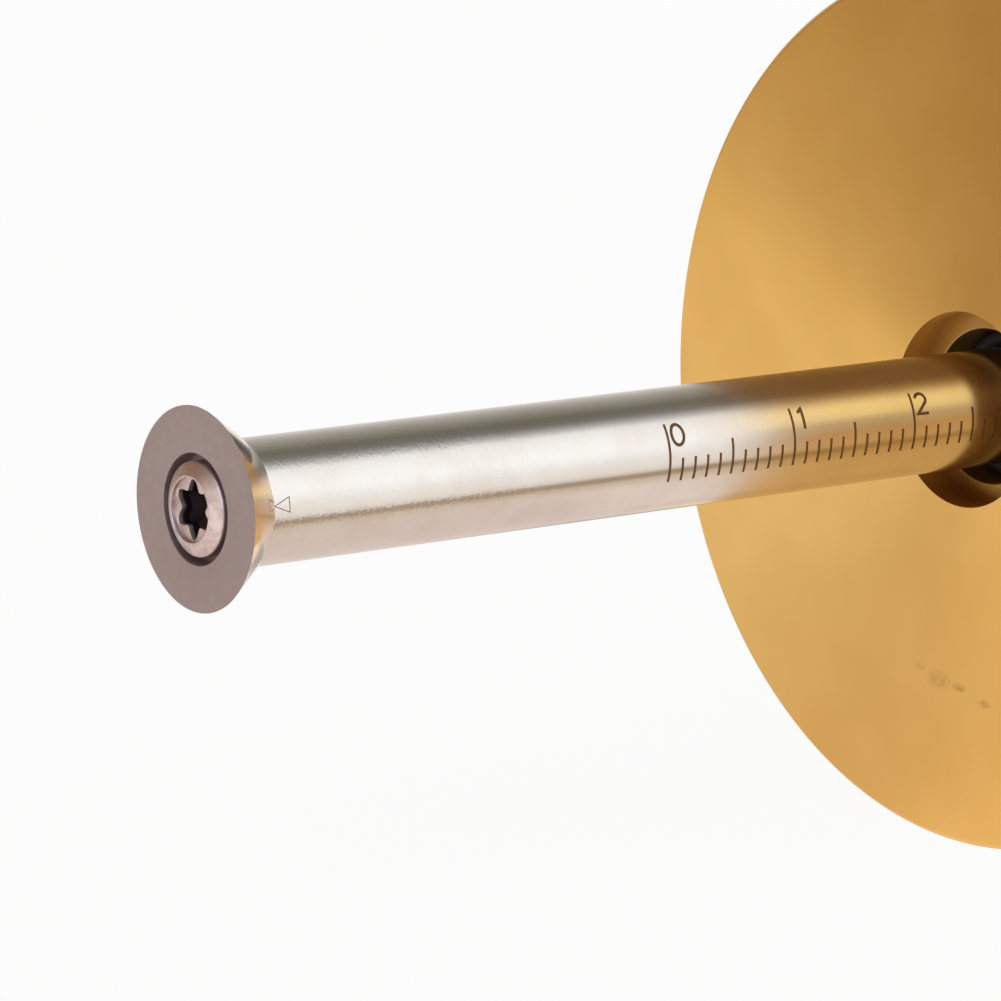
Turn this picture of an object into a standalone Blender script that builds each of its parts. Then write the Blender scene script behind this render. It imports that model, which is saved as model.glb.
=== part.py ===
"""Wheel marking gauge: a round brass fence on a graduated steel rod that carries a cutting wheel.

Run in Blender 4.5. Lengths are metres and +Z is up. The rod's axis lies along +X, with the cutting
wheel at its -X end and the scale facing -Y. The gauge stands on the small flat on the fence's rim,
at z = 0, and x = 0 is halfway along it. Every turned piece is drawn round its own +X line; the two
thumb screws are then stood up so that this line points along +Z.

From the front: the fence's head is a disc, a hub and a threaded tail. A knurled adjuster nut runs on
the tail and pulls or pushes the rear collar, which it holds in a swivel made of a flange, a thrust
washer and a retaining ring. Thumb screws with soft pads lock the rod in the fence and in the collar.
"""

import math

import bmesh
import bpy

# Rod and cutter
ROD_DIAMETER = 0.0075
ROD_LENGTH = 0.180
ROD_FRONT_CHAMFER = 0.00015
ROD_REAR_CHAMFER = 0.0005
CENTRE_DIMPLE_DIAMETER = 0.0022
CENTRE_DIMPLE_DEPTH = 0.0011
CUTTER_DIAMETER = 0.012
CUTTER_THICKNESS = 0.0027
CUTTER_BACK_STEP = 0.0003
SCREW_HEAD_DIAMETER = 0.0056
SCREW_HEAD_HEIGHT = 0.0015
SCREW_HEAD_SIDE_ROOM = 0.00045
SCREW_CROWN_PROUD = 0.0004
SCREW_CROWN_DIAMETER = 0.0040
SCREW_CROWN_DROP = 0.00045
SCREW_SHANK_DIAMETER = 0.004
SCREW_SHANK_LENGTH = 0.010
SCREW_TIP_CHAMFER = 0.0004
SOCKET_OUTER_DIAMETER = 0.0035
SOCKET_INNER_DIAMETER = 0.0025
SOCKET_DEPTH = 0.0010
SOCKET_LOBES = 6
STOP_RING_DIAMETER = 0.0105
STOP_RING_THICKNESS = 0.0006
STOP_GROOVE_DEPTH = 0.0005
STOP_RING_END_DISTANCE = 0.0035
STOP_RING_MOUTH_SHARE = 0.2

# Fence head
PROJECTION = 0.0598
FENCE_DIAMETER = 0.0574
FENCE_THICKNESS = 0.006
FENCE_FRONT_CHAMFER = 0.0005
FENCE_BACK_CHAMFER = 0.0008
REST_FLAT_WIDTH = 0.003
RECESS_SIDE_ROOM = 0.00035
RECESS_DEPTH = 0.0022
PARKING_ROOM = 0.0009
HUB_DIAMETER = 0.021
HUB_FILLET = 0.0009
HUB_CHAMFER = 0.0005
TAIL_DIAMETER = 0.014
TAIL_CHAMFER = 0.0004
TAIL_END_ROOM = 0.0003
SEAL_SECTION = 0.0012

# Fine adjuster
ADJUST_FORWARD = 0.0015
ADJUST_BACK = 0.0005
NUT_LENGTH = 0.0082
NUT_WALL = 0.001
NUT_CHAMFER = 0.0006
NUT_POCKET_STEP = 0.002
NUT_LIP = 0.0008
NUT_KNURL_COUNT = 30
NUT_KNURL_DEPTH = 0.0005
WASHER_THICKNESS = 0.0005
FLANGE_THICKNESS = 0.0008
FLANGE_STEP = 0.0016
RETAINER_THICKNESS = 0.0006
RETAINER_GROOVE_DEPTH = 0.0005
RETAINER_MOUTH_SHARE = 0.09
COLLAR_DIAMETER = 0.017
COLLAR_CHAMFER = 0.0006

# Thumb screws
STUD_DIAMETER = 0.004
STUD_CHAMFER = 0.0004
STUD_KNOB_DEPTH = 0.0045
KNOB_DIAMETER = 0.0076
KNOB_LENGTH = 0.0085
KNOB_SIDE_ROOM = 0.0004
KNOB_NECK_DIAMETER = 0.0058
KNOB_NECK_LENGTH = 0.0010
KNOB_CHAMFER = 0.0005
KNOB_DISH_DIAMETER = 0.0044
KNOB_DISH_DEPTH = 0.0004
KNOB_KNURL_COUNT = 14
KNOB_KNURL_DEPTH = 0.00035
KNOB_LIFT = 0.0006
PAD_SIDE_ROOM = 0.0003
PAD_LENGTH = 0.0016

# Clearances
SLIDE_GAP = 0.00005
SEAT_GAP = 0.0001
END_GAP = 0.0002
CUT_OVERRUN = 0.002

# Facets round each piece
FENCE_FACETS = 96
ROD_FACETS = 48
CUTTER_FACETS = 80
SCREW_FACETS = 40
COLLAR_FACETS = 40
RING_FACETS = 32
RING_SECTION_FACETS = 8
STUD_FACETS = 20
FILLET_STEPS = 3
SOCKET_FACETS = 48

# Sizes that follow from those above
BORE_DIAMETER = ROD_DIAMETER + 2 * SLIDE_GAP
SEAL_SEAT_DIAMETER = ROD_DIAMETER + 2 * (SEAL_SECTION + SEAT_GAP)
CUTTER_BACK_DIAMETER = ROD_DIAMETER + 2 * CUTTER_BACK_STEP
CUTTER_POCKET_DIAMETER = SCREW_HEAD_DIAMETER + 2 * SCREW_HEAD_SIDE_ROOM
CUTTER_POCKET_DEPTH = SCREW_HEAD_HEIGHT - SCREW_CROWN_PROUD + SEAT_GAP
RECESS_DIAMETER = CUTTER_DIAMETER + 2 * RECESS_SIDE_ROOM
GLAND_DEPTH = CUTTER_THICKNESS + ADJUST_BACK + PARKING_ROOM + SEAL_SECTION + SEAT_GAP
NUT_POCKET_DIAMETER = TAIL_DIAMETER + 2 * NUT_POCKET_STEP
NUT_DIAMETER = NUT_POCKET_DIAMETER + 2 * (RETAINER_GROOVE_DEPTH + NUT_WALL + NUT_KNURL_DEPTH)
FLANGE_DIAMETER = NUT_POCKET_DIAMETER - 2 * SEAT_GAP
COLLAR_NECK_DIAMETER = FLANGE_DIAMETER - 2 * FLANGE_STEP
PAD_DIAMETER = STUD_DIAMETER - 2 * PAD_SIDE_ROOM
HUB_LENGTH = KNOB_DIAMETER + 2 * KNOB_SIDE_ROOM
COLLAR_LENGTH = KNOB_DIAMETER + SEAT_GAP

# Places along the axis, measured back from the fence's face
HUB_END = FENCE_THICKNESS + HUB_LENGTH
NUT_FRONT = HUB_END + ADJUST_FORWARD + END_GAP
NUT_BACK = NUT_FRONT + NUT_LENGTH
COLLAR_FRONT = NUT_BACK + END_GAP
HEAD_LENGTH = COLLAR_FRONT + COLLAR_LENGTH
RETAINER_BACK = NUT_BACK - NUT_LIP
RETAINER_FRONT = RETAINER_BACK - RETAINER_THICKNESS
FLANGE_BACK = RETAINER_FRONT - SEAT_GAP
FLANGE_FRONT = FLANGE_BACK - FLANGE_THICKNESS
WASHER_BACK = FLANGE_FRONT - SEAT_GAP
WASHER_FRONT = WASHER_BACK - WASHER_THICKNESS
NUT_SHOULDER = WASHER_FRONT - SEAT_GAP
TAIL_END = FLANGE_FRONT - ADJUST_FORWARD - TAIL_END_ROOM
FRONT_SEAL_CENTRE = GLAND_DEPTH - SEAT_GAP - SEAL_SECTION / 2
COLLAR_SEAL_CENTRE = (FLANGE_FRONT + COLLAR_FRONT) / 2
FENCE_LOCK_PLACE = (FENCE_THICKNESS + HUB_END) / 2
COLLAR_LOCK_PLACE = (COLLAR_FRONT + HEAD_LENGTH) / 2
CUTTER_FRONT = -PROJECTION
ROD_FRONT = CUTTER_FRONT + CUTTER_THICKNESS + SEAT_GAP
ROD_BACK = ROD_FRONT + ROD_LENGTH
STOP_RING_FRONT = ROD_BACK - STOP_RING_END_DISTANCE

# Where the axis lies in the part's own frame
AXIS_HEIGHT = math.sqrt((FENCE_DIAMETER / 2) ** 2 - (REST_FLAT_WIDTH / 2) ** 2)
FENCE_FACE_X = -(CUTTER_FRONT - SCREW_CROWN_PROUD + ROD_BACK) / 2

# Finishes: colour, roughness and metallic value
FINISHES = {
    "satin_brass": ((0.72, 0.48, 0.17), 0.34, 1.0),
    "ground_steel": ((0.62, 0.60, 0.56), 0.28, 1.0),
    "carbide": ((0.34, 0.29, 0.29), 0.40, 0.7),
    "plated_screw": ((0.52, 0.45, 0.44), 0.35, 1.0),
    "spring_steel": ((0.16, 0.15, 0.15), 0.38, 1.0),
    "black_rubber": ((0.012, 0.012, 0.012), 0.65, 0.0),
    "white_nylon": ((0.82, 0.80, 0.74), 0.50, 0.0),
}


def clear_scene():
    """Take away whatever the file started with."""
    for thing in list(bpy.data.objects):
        bpy.data.objects.remove(thing, do_unlink=True)


def plain(x, diameter):
    """One round ring of an outline: its place, and its radius on even and on odd lines."""
    return (x, diameter / 2, diameter / 2)


def on_axis(x):
    """The point where an outline meets its own line."""
    return (x, 0.0, 0.0)


def fillet_rings(x, diameter, size):
    """Rings of a hollow quarter round, from a flat face at x down onto a hub of this diameter."""
    rings = []
    for step in range(FILLET_STEPS + 1):
        angle = math.pi / 2 * step / FILLET_STEPS
        drop = size * (1 - math.sin(angle))
        rings.append(plain(x + size * (1 - math.cos(angle)), diameter + 2 * drop))
    return rings


def knurl_rings(front, back, diameter, depth, count):
    """Rings of a diamond knurl: crests and valleys take turns along each ring and from ring to ring."""
    pitch = math.pi * diameter / count
    rows = 2 * max(1, round((back - front) / pitch))
    crest = diameter / 2
    valley = crest - depth
    rings = []
    for row in range(rows + 1):
        x = front + (back - front) * row / rows
        rings.append((x, valley, crest) if row % 2 == 0 else (x, crest, valley))
    return rings


def link_rings(shape, first, second, lines):
    """Faces between two rings. A flat end is one face, and a knurled face folds along its valley."""
    one, one_radii = first
    two, two_radii = second
    for cap, centre in ((two, one), (one, two)):
        if len(centre) == 1 and centre[0].co.x == cap[0].co.x:
            shape.verts.remove(centre[0])
            shape.faces.new(cap)
            return
    for line in range(lines):
        after = (line + 1) % lines
        if len(one) == 1:
            shape.faces.new((one[0], two[after], two[line]))
        elif len(two) == 1:
            shape.faces.new((one[line], one[after], two[0]))
        elif one_radii[0] == one_radii[1] and two_radii[0] == two_radii[1]:
            shape.faces.new((one[line], one[after], two[after], two[line]))
        elif one_radii[line % 2] + two_radii[after % 2] < one_radii[after % 2] + two_radii[line % 2]:
            shape.faces.new((one[line], one[after], two[after]))
            shape.faces.new((one[line], two[after], two[line]))
        else:
            shape.faces.new((one[line], one[after], two[line]))
            shape.faces.new((one[after], two[after], two[line]))


def turned(name, outline, lines):
    """A body turned round its +X line. An outline that never meets that line closes on itself."""
    shape = bmesh.new()
    rings = []
    for x, even, odd in outline:
        radii = (even, odd)
        if even == 0 and odd == 0:
            points = [shape.verts.new((x, 0.0, 0.0))]
        else:
            points = []
            for line in range(lines):
                angle = 2 * math.pi * line / lines
                radius = radii[line % 2]
                points.append(shape.verts.new((x, radius * math.sin(angle), radius * math.cos(angle))))
        rings.append((points, radii))
    if len(rings[0][0]) > 1 and len(rings[-1][0]) > 1:
        rings.append(rings[0])
    for first, second in zip(rings, rings[1:]):
        link_rings(shape, first, second, lines)
    return finished(name, shape)


def prism(name, outline, front, back):
    """A straight-sided body between two places along x, from outline points (y, z)."""
    shape = bmesh.new()
    near = [shape.verts.new((front, y, z)) for y, z in outline]
    far = [shape.verts.new((back, y, z)) for y, z in outline]
    shape.faces.new(near)
    shape.faces.new(list(reversed(far)))
    for place in range(len(outline)):
        after = (place + 1) % len(outline)
        shape.faces.new((near[place], far[place], far[after], near[after]))
    return finished(name, shape)


def finished(name, shape):
    """An object from this shape, with its faces turned out and its round sides shaded smooth."""
    bmesh.ops.recalc_face_normals(shape, faces=shape.faces)
    mesh = bpy.data.meshes.new(name)
    shape.to_mesh(mesh)
    shape.free()
    mesh.shade_smooth()
    mesh.set_sharp_from_angle(angle=math.radians(30))
    piece = bpy.data.objects.new(name, mesh)
    bpy.context.collection.objects.link(piece)
    return piece


def finish(piece, kind):
    """Give the piece a material of its own in this finish."""
    colour, roughness, metallic = FINISHES[kind]
    material = bpy.data.materials.new(f"{piece.name}_{kind}")
    material.use_nodes = True
    shader = material.node_tree.nodes["Principled BSDF"]
    shader.inputs["Base Color"].default_value = (*colour, 1.0)
    shader.inputs["Roughness"].default_value = roughness
    shader.inputs["Metallic"].default_value = metallic
    piece.data.materials.append(material)


def place(piece, axis, along=0.0, upright=False):
    """Set the piece on the gauge's axis, or stood up at right angles to it."""
    piece.parent = axis
    piece.location = (along, 0.0, 0.0)
    if upright:
        piece.rotation_euler = (0.0, -math.pi / 2, 0.0)


def cut(piece, cutter, axis, along=0.0, upright=False):
    """Take the cutter's shape out of the piece."""
    place(cutter, axis, along, upright)
    cutter.hide_render = True
    cutter.display_type = "WIRE"
    step = piece.modifiers.new(cutter.name, "BOOLEAN")
    step.operation = "DIFFERENCE"
    step.solver = "EXACT"
    step.object = cutter


def make_axis():
    """The gauge's axis, at the centre of the fence's face."""
    axis = bpy.data.objects.new("gauge_axis", None)
    axis.location = (FENCE_FACE_X, 0.0, AXIS_HEIGHT)
    bpy.context.collection.objects.link(axis)
    return axis


def make_fence(axis):
    """Disc, hub and threaded tail in one turning, with the parking recess and the gland in its face."""
    outline = [
        plain(0.0, RECESS_DIAMETER),
        plain(0.0, FENCE_DIAMETER - 2 * FENCE_FRONT_CHAMFER),
        plain(FENCE_FRONT_CHAMFER, FENCE_DIAMETER),
        plain(FENCE_THICKNESS - FENCE_BACK_CHAMFER, FENCE_DIAMETER),
        plain(FENCE_THICKNESS, FENCE_DIAMETER - 2 * FENCE_BACK_CHAMFER),
        *fillet_rings(FENCE_THICKNESS, HUB_DIAMETER, HUB_FILLET),
        plain(HUB_END - HUB_CHAMFER, HUB_DIAMETER),
        plain(HUB_END, HUB_DIAMETER - 2 * HUB_CHAMFER),
        plain(HUB_END, TAIL_DIAMETER),
        plain(TAIL_END - TAIL_CHAMFER, TAIL_DIAMETER),
        plain(TAIL_END, TAIL_DIAMETER - 2 * TAIL_CHAMFER),
        plain(TAIL_END, BORE_DIAMETER + 2 * TAIL_CHAMFER),
        plain(TAIL_END - TAIL_CHAMFER, BORE_DIAMETER),
        plain(GLAND_DEPTH, BORE_DIAMETER),
        plain(GLAND_DEPTH, SEAL_SEAT_DIAMETER),
        plain(RECESS_DEPTH, SEAL_SEAT_DIAMETER),
        plain(RECESS_DEPTH, RECESS_DIAMETER),
    ]
    fence = turned("fence", outline, FENCE_FACETS)
    place(fence, axis)
    cut_lock_hole(fence, axis, FENCE_LOCK_PLACE, HUB_DIAMETER)
    side = FENCE_DIAMETER / 2
    low = -side - CUT_OVERRUN
    corners = [(-side, low), (side, low), (side, -AXIS_HEIGHT), (-side, -AXIS_HEIGHT)]
    block = prism("rest_flat_cutter", corners, -CUT_OVERRUN, FENCE_THICKNESS + CUT_OVERRUN)
    cut(fence, block, axis)
    finish(fence, "satin_brass")


def cut_lock_hole(piece, axis, along, diameter):
    """The thumb screw's radial hole, from the rod's bore out through the side."""
    hole = STUD_DIAMETER + 2 * SEAT_GAP
    start = ROD_DIAMETER / 4
    end = diameter / 2 + CUT_OVERRUN
    outline = [on_axis(start), plain(start, hole), plain(end, hole), on_axis(end)]
    drill = turned(f"{piece.name}_lock_drill", outline, STUD_FACETS)
    cut(piece, drill, axis, along, upright=True)


def make_seal(axis, name, centre):
    """A rubber grip ring round the rod, midway between the rod and the ring's seat."""
    middle = (ROD_DIAMETER + SEAL_SEAT_DIAMETER) / 4
    outline = []
    for step in range(RING_SECTION_FACETS):
        angle = 2 * math.pi * step / RING_SECTION_FACETS
        radius = middle + SEAL_SECTION / 2 * math.sin(angle)
        outline.append(plain(centre + SEAL_SECTION / 2 * math.cos(angle), 2 * radius))
    seal = turned(name, outline, RING_FACETS)
    place(seal, axis)
    finish(seal, "black_rubber")


def make_rod(axis):
    """The round rod, tapped for the cutter's screw in front and grooved for the stop ring behind."""
    hole = SCREW_SHANK_DIAMETER + 2 * SEAT_GAP
    hole_end = ROD_FRONT + SCREW_SHANK_LENGTH
    groove = ROD_DIAMETER - 2 * STOP_GROOVE_DEPTH
    groove_front = STOP_RING_FRONT - SEAT_GAP
    groove_back = STOP_RING_FRONT + STOP_RING_THICKNESS + SEAT_GAP
    outline = [
        on_axis(hole_end + hole / 4),
        plain(hole_end, hole),
        plain(ROD_FRONT, hole),
        plain(ROD_FRONT, ROD_DIAMETER - 2 * ROD_FRONT_CHAMFER),
        plain(ROD_FRONT + ROD_FRONT_CHAMFER, ROD_DIAMETER),
        plain(groove_front, ROD_DIAMETER),
        plain(groove_front, groove),
        plain(groove_back, groove),
        plain(groove_back, ROD_DIAMETER),
        plain(ROD_BACK - ROD_REAR_CHAMFER, ROD_DIAMETER),
        plain(ROD_BACK, ROD_DIAMETER - 2 * ROD_REAR_CHAMFER),
        plain(ROD_BACK, CENTRE_DIMPLE_DIAMETER),
        on_axis(ROD_BACK - CENTRE_DIMPLE_DEPTH),
    ]
    rod = turned("rod", outline, ROD_FACETS)
    place(rod, axis)
    finish(rod, "ground_steel")


def ring_with_mouth(name, inner, outer, front, thickness, mouth_share):
    """A flat spring ring whose mouth opens downward and takes this share of its round."""
    outline = []
    for diameter, way in ((outer, 1), (inner, -1)):
        for step in range(RING_FACETS + 1):
            share = step / RING_FACETS if way == 1 else 1 - step / RING_FACETS
            angle = 2 * math.pi * (mouth_share / 2 + (1 - mouth_share) * share)
            outline.append((-diameter / 2 * math.sin(angle), -diameter / 2 * math.cos(angle)))
    return prism(name, outline, front, front + thickness)


def make_stop_ring(axis):
    """The spring ring near the rod's tail, which keeps the head from sliding off."""
    inner = ROD_DIAMETER - 2 * STOP_GROOVE_DEPTH + 2 * SLIDE_GAP
    ring = ring_with_mouth(
        "rod_stop_ring", inner, STOP_RING_DIAMETER, STOP_RING_FRONT, STOP_RING_THICKNESS,
        STOP_RING_MOUTH_SHARE,
    )
    place(ring, axis)
    finish(ring, "spring_steel")


def make_cutter_wheel(axis):
    """The cutting wheel: a flat face, a bevel back to near the rod's size, and the screw's pocket."""
    hole = SCREW_SHANK_DIAMETER + 2 * SEAT_GAP
    outline = [
        plain(0.0, CUTTER_POCKET_DIAMETER),
        plain(0.0, CUTTER_DIAMETER),
        plain(CUTTER_THICKNESS, CUTTER_BACK_DIAMETER),
        plain(CUTTER_THICKNESS, hole),
        plain(CUTTER_POCKET_DEPTH, hole),
        plain(CUTTER_POCKET_DEPTH, CUTTER_POCKET_DIAMETER),
    ]
    wheel = turned("cutter_wheel", outline, CUTTER_FACETS)
    place(wheel, axis, CUTTER_FRONT)
    finish(wheel, "carbide")


def socket_outline():
    """Points round the driver's socket, whose lobes swell and draw in evenly."""
    middle = (SOCKET_OUTER_DIAMETER + SOCKET_INNER_DIAMETER) / 4
    swing = (SOCKET_OUTER_DIAMETER - SOCKET_INNER_DIAMETER) / 4
    points = []
    for step in range(SOCKET_FACETS):
        angle = 2 * math.pi * step / SOCKET_FACETS
        radius = middle + swing * math.cos(SOCKET_LOBES * angle)
        points.append((radius * math.sin(angle), radius * math.cos(angle)))
    return points


def make_cutter_screw(axis):
    """The screw that clamps the wheel: a crowned head with a lobed socket on a plain-turned shank."""
    seat = CUTTER_FRONT + CUTTER_POCKET_DEPTH - SEAT_GAP
    crown = seat - SCREW_HEAD_HEIGHT
    end = ROD_FRONT + SCREW_SHANK_LENGTH - END_GAP
    outline = [
        on_axis(crown),
        plain(crown, SCREW_CROWN_DIAMETER),
        plain(crown + SCREW_CROWN_DROP, SCREW_HEAD_DIAMETER),
        plain(seat, SCREW_HEAD_DIAMETER),
        plain(seat, SCREW_SHANK_DIAMETER),
        plain(end - SCREW_TIP_CHAMFER, SCREW_SHANK_DIAMETER),
        plain(end, SCREW_SHANK_DIAMETER - 2 * SCREW_TIP_CHAMFER),
        on_axis(end),
    ]
    screw = turned("cutter_screw", outline, SCREW_FACETS)
    place(screw, axis)
    socket = prism("socket_cutter", socket_outline(), crown - CUT_OVERRUN, crown + SOCKET_DEPTH)
    cut(screw, socket, axis)
    finish(screw, "plated_screw")


def make_adjuster_nut(axis):
    """The knurled nut: threaded onto the tail in front, pocketed for the collar's flange behind."""
    thread = TAIL_DIAMETER + 2 * SEAT_GAP
    groove = NUT_POCKET_DIAMETER + 2 * RETAINER_GROOVE_DEPTH
    face = NUT_DIAMETER - 2 * (NUT_KNURL_DEPTH + NUT_CHAMFER)
    outline = [
        plain(NUT_FRONT, thread),
        plain(NUT_FRONT, face),
        *knurl_rings(
            NUT_FRONT + NUT_CHAMFER, NUT_BACK - NUT_CHAMFER, NUT_DIAMETER, NUT_KNURL_DEPTH,
            NUT_KNURL_COUNT,
        ),
        plain(NUT_BACK, face),
        plain(NUT_BACK, NUT_POCKET_DIAMETER),
        plain(RETAINER_BACK + SLIDE_GAP, NUT_POCKET_DIAMETER),
        plain(RETAINER_BACK + SLIDE_GAP, groove),
        plain(RETAINER_FRONT - SLIDE_GAP, groove),
        plain(RETAINER_FRONT - SLIDE_GAP, NUT_POCKET_DIAMETER),
        plain(NUT_SHOULDER, NUT_POCKET_DIAMETER),
        plain(NUT_SHOULDER, thread),
    ]
    nut = turned("adjuster_nut", outline, 2 * NUT_KNURL_COUNT)
    place(nut, axis)
    finish(nut, "satin_brass")


def make_thrust_washer(axis):
    """The nylon washer between the nut's shoulder and the collar's flange."""
    inner = TAIL_DIAMETER + 4 * SEAT_GAP
    outline = [
        plain(WASHER_FRONT, inner),
        plain(WASHER_FRONT, FLANGE_DIAMETER),
        plain(WASHER_BACK, FLANGE_DIAMETER),
        plain(WASHER_BACK, inner),
    ]
    washer = turned("thrust_washer", outline, COLLAR_FACETS)
    place(washer, axis)
    finish(washer, "white_nylon")


def make_retaining_ring(axis):
    """The spring ring that holds the collar's flange in the nut."""
    inner = COLLAR_NECK_DIAMETER + 2 * END_GAP
    outer = NUT_POCKET_DIAMETER + 2 * (RETAINER_GROOVE_DEPTH - SEAT_GAP)
    ring = ring_with_mouth(
        "nut_retaining_ring", inner, outer, RETAINER_FRONT, RETAINER_THICKNESS, RETAINER_MOUTH_SHARE,
    )
    place(ring, axis)
    finish(ring, "spring_steel")


def make_rear_collar(axis):
    """The collar that grips the rod behind the nut. Its back edge is the scale's reading edge."""
    groove_back = COLLAR_SEAL_CENTRE + SEAL_SECTION / 2 + SEAT_GAP
    groove_front = COLLAR_SEAL_CENTRE - SEAL_SECTION / 2 - SEAT_GAP
    outline = [
        plain(FLANGE_FRONT, BORE_DIAMETER),
        plain(FLANGE_FRONT, FLANGE_DIAMETER),
        plain(FLANGE_BACK, FLANGE_DIAMETER),
        plain(FLANGE_BACK, COLLAR_NECK_DIAMETER),
        plain(COLLAR_FRONT, COLLAR_NECK_DIAMETER),
        plain(COLLAR_FRONT, COLLAR_DIAMETER - COLLAR_CHAMFER),
        plain(COLLAR_FRONT + COLLAR_CHAMFER / 2, COLLAR_DIAMETER),
        plain(HEAD_LENGTH - COLLAR_CHAMFER, COLLAR_DIAMETER),
        plain(HEAD_LENGTH, COLLAR_DIAMETER - 2 * COLLAR_CHAMFER),
        plain(HEAD_LENGTH, BORE_DIAMETER),
        plain(groove_back, BORE_DIAMETER),
        plain(groove_back, SEAL_SEAT_DIAMETER),
        plain(groove_front, SEAL_SEAT_DIAMETER),
        plain(groove_front, BORE_DIAMETER),
    ]
    collar = turned("rear_collar", outline, COLLAR_FACETS)
    place(collar, axis)
    cut_lock_hole(collar, axis, COLLAR_LOCK_PLACE, COLLAR_DIAMETER)
    finish(collar, "satin_brass")


def knob_outline(underside):
    """A knurled thumb knob, from its bored neck up to its dished top."""
    bore = STUD_DIAMETER + 2 * SLIDE_GAP
    bore_end = underside + STUD_KNOB_DEPTH + SEAT_GAP
    grip = underside + KNOB_NECK_LENGTH
    top = underside + KNOB_LENGTH
    face = KNOB_DIAMETER - 2 * (KNOB_KNURL_DEPTH + KNOB_CHAMFER)
    return [
        on_axis(bore_end),
        plain(bore_end, bore),
        plain(underside, bore),
        plain(underside, KNOB_NECK_DIAMETER),
        plain(grip, KNOB_NECK_DIAMETER),
        *knurl_rings(
            grip + KNOB_CHAMFER, top - KNOB_CHAMFER, KNOB_DIAMETER, KNOB_KNURL_DEPTH,
            KNOB_KNURL_COUNT,
        ),
        plain(top, face),
        plain(top, KNOB_DISH_DIAMETER),
        on_axis(top - KNOB_DISH_DEPTH),
    ]


def make_thumb_screw(axis, name, along, seat_diameter):
    """A knob, its pressed-in stud and the soft pad under it, pointing at the rod from above."""
    pad_start = ROD_DIAMETER / 2 + SEAT_GAP
    pad_end = pad_start + PAD_LENGTH
    pad_outline = [
        on_axis(pad_start), plain(pad_start, PAD_DIAMETER), plain(pad_end, PAD_DIAMETER), on_axis(pad_end),
    ]
    pad = turned(f"{name}_pad", pad_outline, STUD_FACETS)
    place(pad, axis, along, upright=True)
    finish(pad, "white_nylon")

    underside = seat_diameter / 2 + KNOB_LIFT
    stud_start = pad_end + SEAT_GAP
    stud_end = underside + STUD_KNOB_DEPTH
    stud_outline = [
        on_axis(stud_start),
        plain(stud_start, STUD_DIAMETER - 2 * STUD_CHAMFER),
        plain(stud_start + STUD_CHAMFER, STUD_DIAMETER),
        plain(stud_end, STUD_DIAMETER),
        on_axis(stud_end),
    ]
    stud = turned(f"{name}_stud", stud_outline, STUD_FACETS)
    place(stud, axis, along, upright=True)
    finish(stud, "ground_steel")

    knob = turned(f"{name}_knob", knob_outline(underside), 2 * KNOB_KNURL_COUNT)
    place(knob, axis, along, upright=True)
    finish(knob, "satin_brass")


def main():
    clear_scene()
    axis = make_axis()
    make_fence(axis)
    make_seal(axis, "front_grip_ring", FRONT_SEAL_CENTRE)
    make_thumb_screw(axis, "fence_lock", FENCE_LOCK_PLACE, HUB_DIAMETER)
    make_adjuster_nut(axis)
    make_thrust_washer(axis)
    make_retaining_ring(axis)
    make_rear_collar(axis)
    make_seal(axis, "collar_grip_ring", COLLAR_SEAL_CENTRE)
    make_thumb_screw(axis, "collar_lock", COLLAR_LOCK_PLACE, COLLAR_DIAMETER)
    make_rod(axis)
    make_stop_ring(axis)
    make_cutter_wheel(axis)
    make_cutter_screw(axis)


main()
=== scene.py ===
"""Wheel marking gauge: the finished look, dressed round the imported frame.

Laid out as a Blender add-on and run as a script. Lengths are metres. Every turned piece is drawn round
its own +Z line, so its object coordinates give the distance from its axis and the place along it. The
pieces on the rod's line lie with that +Z along the world's +X and start at the fence's face; the thumb
screws stand upright. Angles round the rod are counted from straight up towards the side of the scale.
"""

import math

import bmesh
import bpy
import numpy as np
from mathutils import Matrix, Vector


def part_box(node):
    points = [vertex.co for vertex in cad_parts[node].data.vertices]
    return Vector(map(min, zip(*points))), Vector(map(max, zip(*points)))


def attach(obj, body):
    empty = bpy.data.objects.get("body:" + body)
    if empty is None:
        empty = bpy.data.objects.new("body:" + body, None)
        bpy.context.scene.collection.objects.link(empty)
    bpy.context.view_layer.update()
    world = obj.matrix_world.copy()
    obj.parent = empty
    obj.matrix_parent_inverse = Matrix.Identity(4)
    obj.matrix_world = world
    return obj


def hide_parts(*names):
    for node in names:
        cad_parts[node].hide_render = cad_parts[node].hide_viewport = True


bl_info = {
    "name": "Wheel marking gauge",
    "version": (1, 0, 0),
    "blender": (4, 5, 0),
    "location": "3D View > Sidebar > Gauge",
    "description": "Dresses a wheel marking gauge: brass fence, graduated rod, cutting wheel and locks",
    "category": "Object",
}

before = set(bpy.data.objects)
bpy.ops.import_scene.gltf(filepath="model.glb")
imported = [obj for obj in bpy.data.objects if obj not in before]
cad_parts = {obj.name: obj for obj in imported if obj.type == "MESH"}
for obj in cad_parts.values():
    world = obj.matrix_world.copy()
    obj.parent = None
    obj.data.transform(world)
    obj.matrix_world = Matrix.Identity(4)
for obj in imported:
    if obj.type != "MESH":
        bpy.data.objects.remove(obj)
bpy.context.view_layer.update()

# Where the frame puts things. A span is measured back from the fence's face.
FENCE_LOW, FENCE_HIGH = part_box("fence")
FACE_X = FENCE_LOW.x
FENCE_RADIUS = (FENCE_HIGH.y - FENCE_LOW.y) / 2
AXIS_HEIGHT = FENCE_HIGH.z - FENCE_RADIUS
LYING = Matrix(((0, 0, 1, FACE_X), (0, -1, 0, 0), (1, 0, 0, AXIS_HEIGHT), (0, 0, 0, 1)))


def span(node):
    """How far back from the fence's face a node starts and ends, along the rod."""
    low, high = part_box(node)
    return low.x - FACE_X, high.x - FACE_X


def girth(node):
    """A node's radius, from its width across the rod."""
    low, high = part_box(node)
    return (high.y - low.y) / 2


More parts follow.
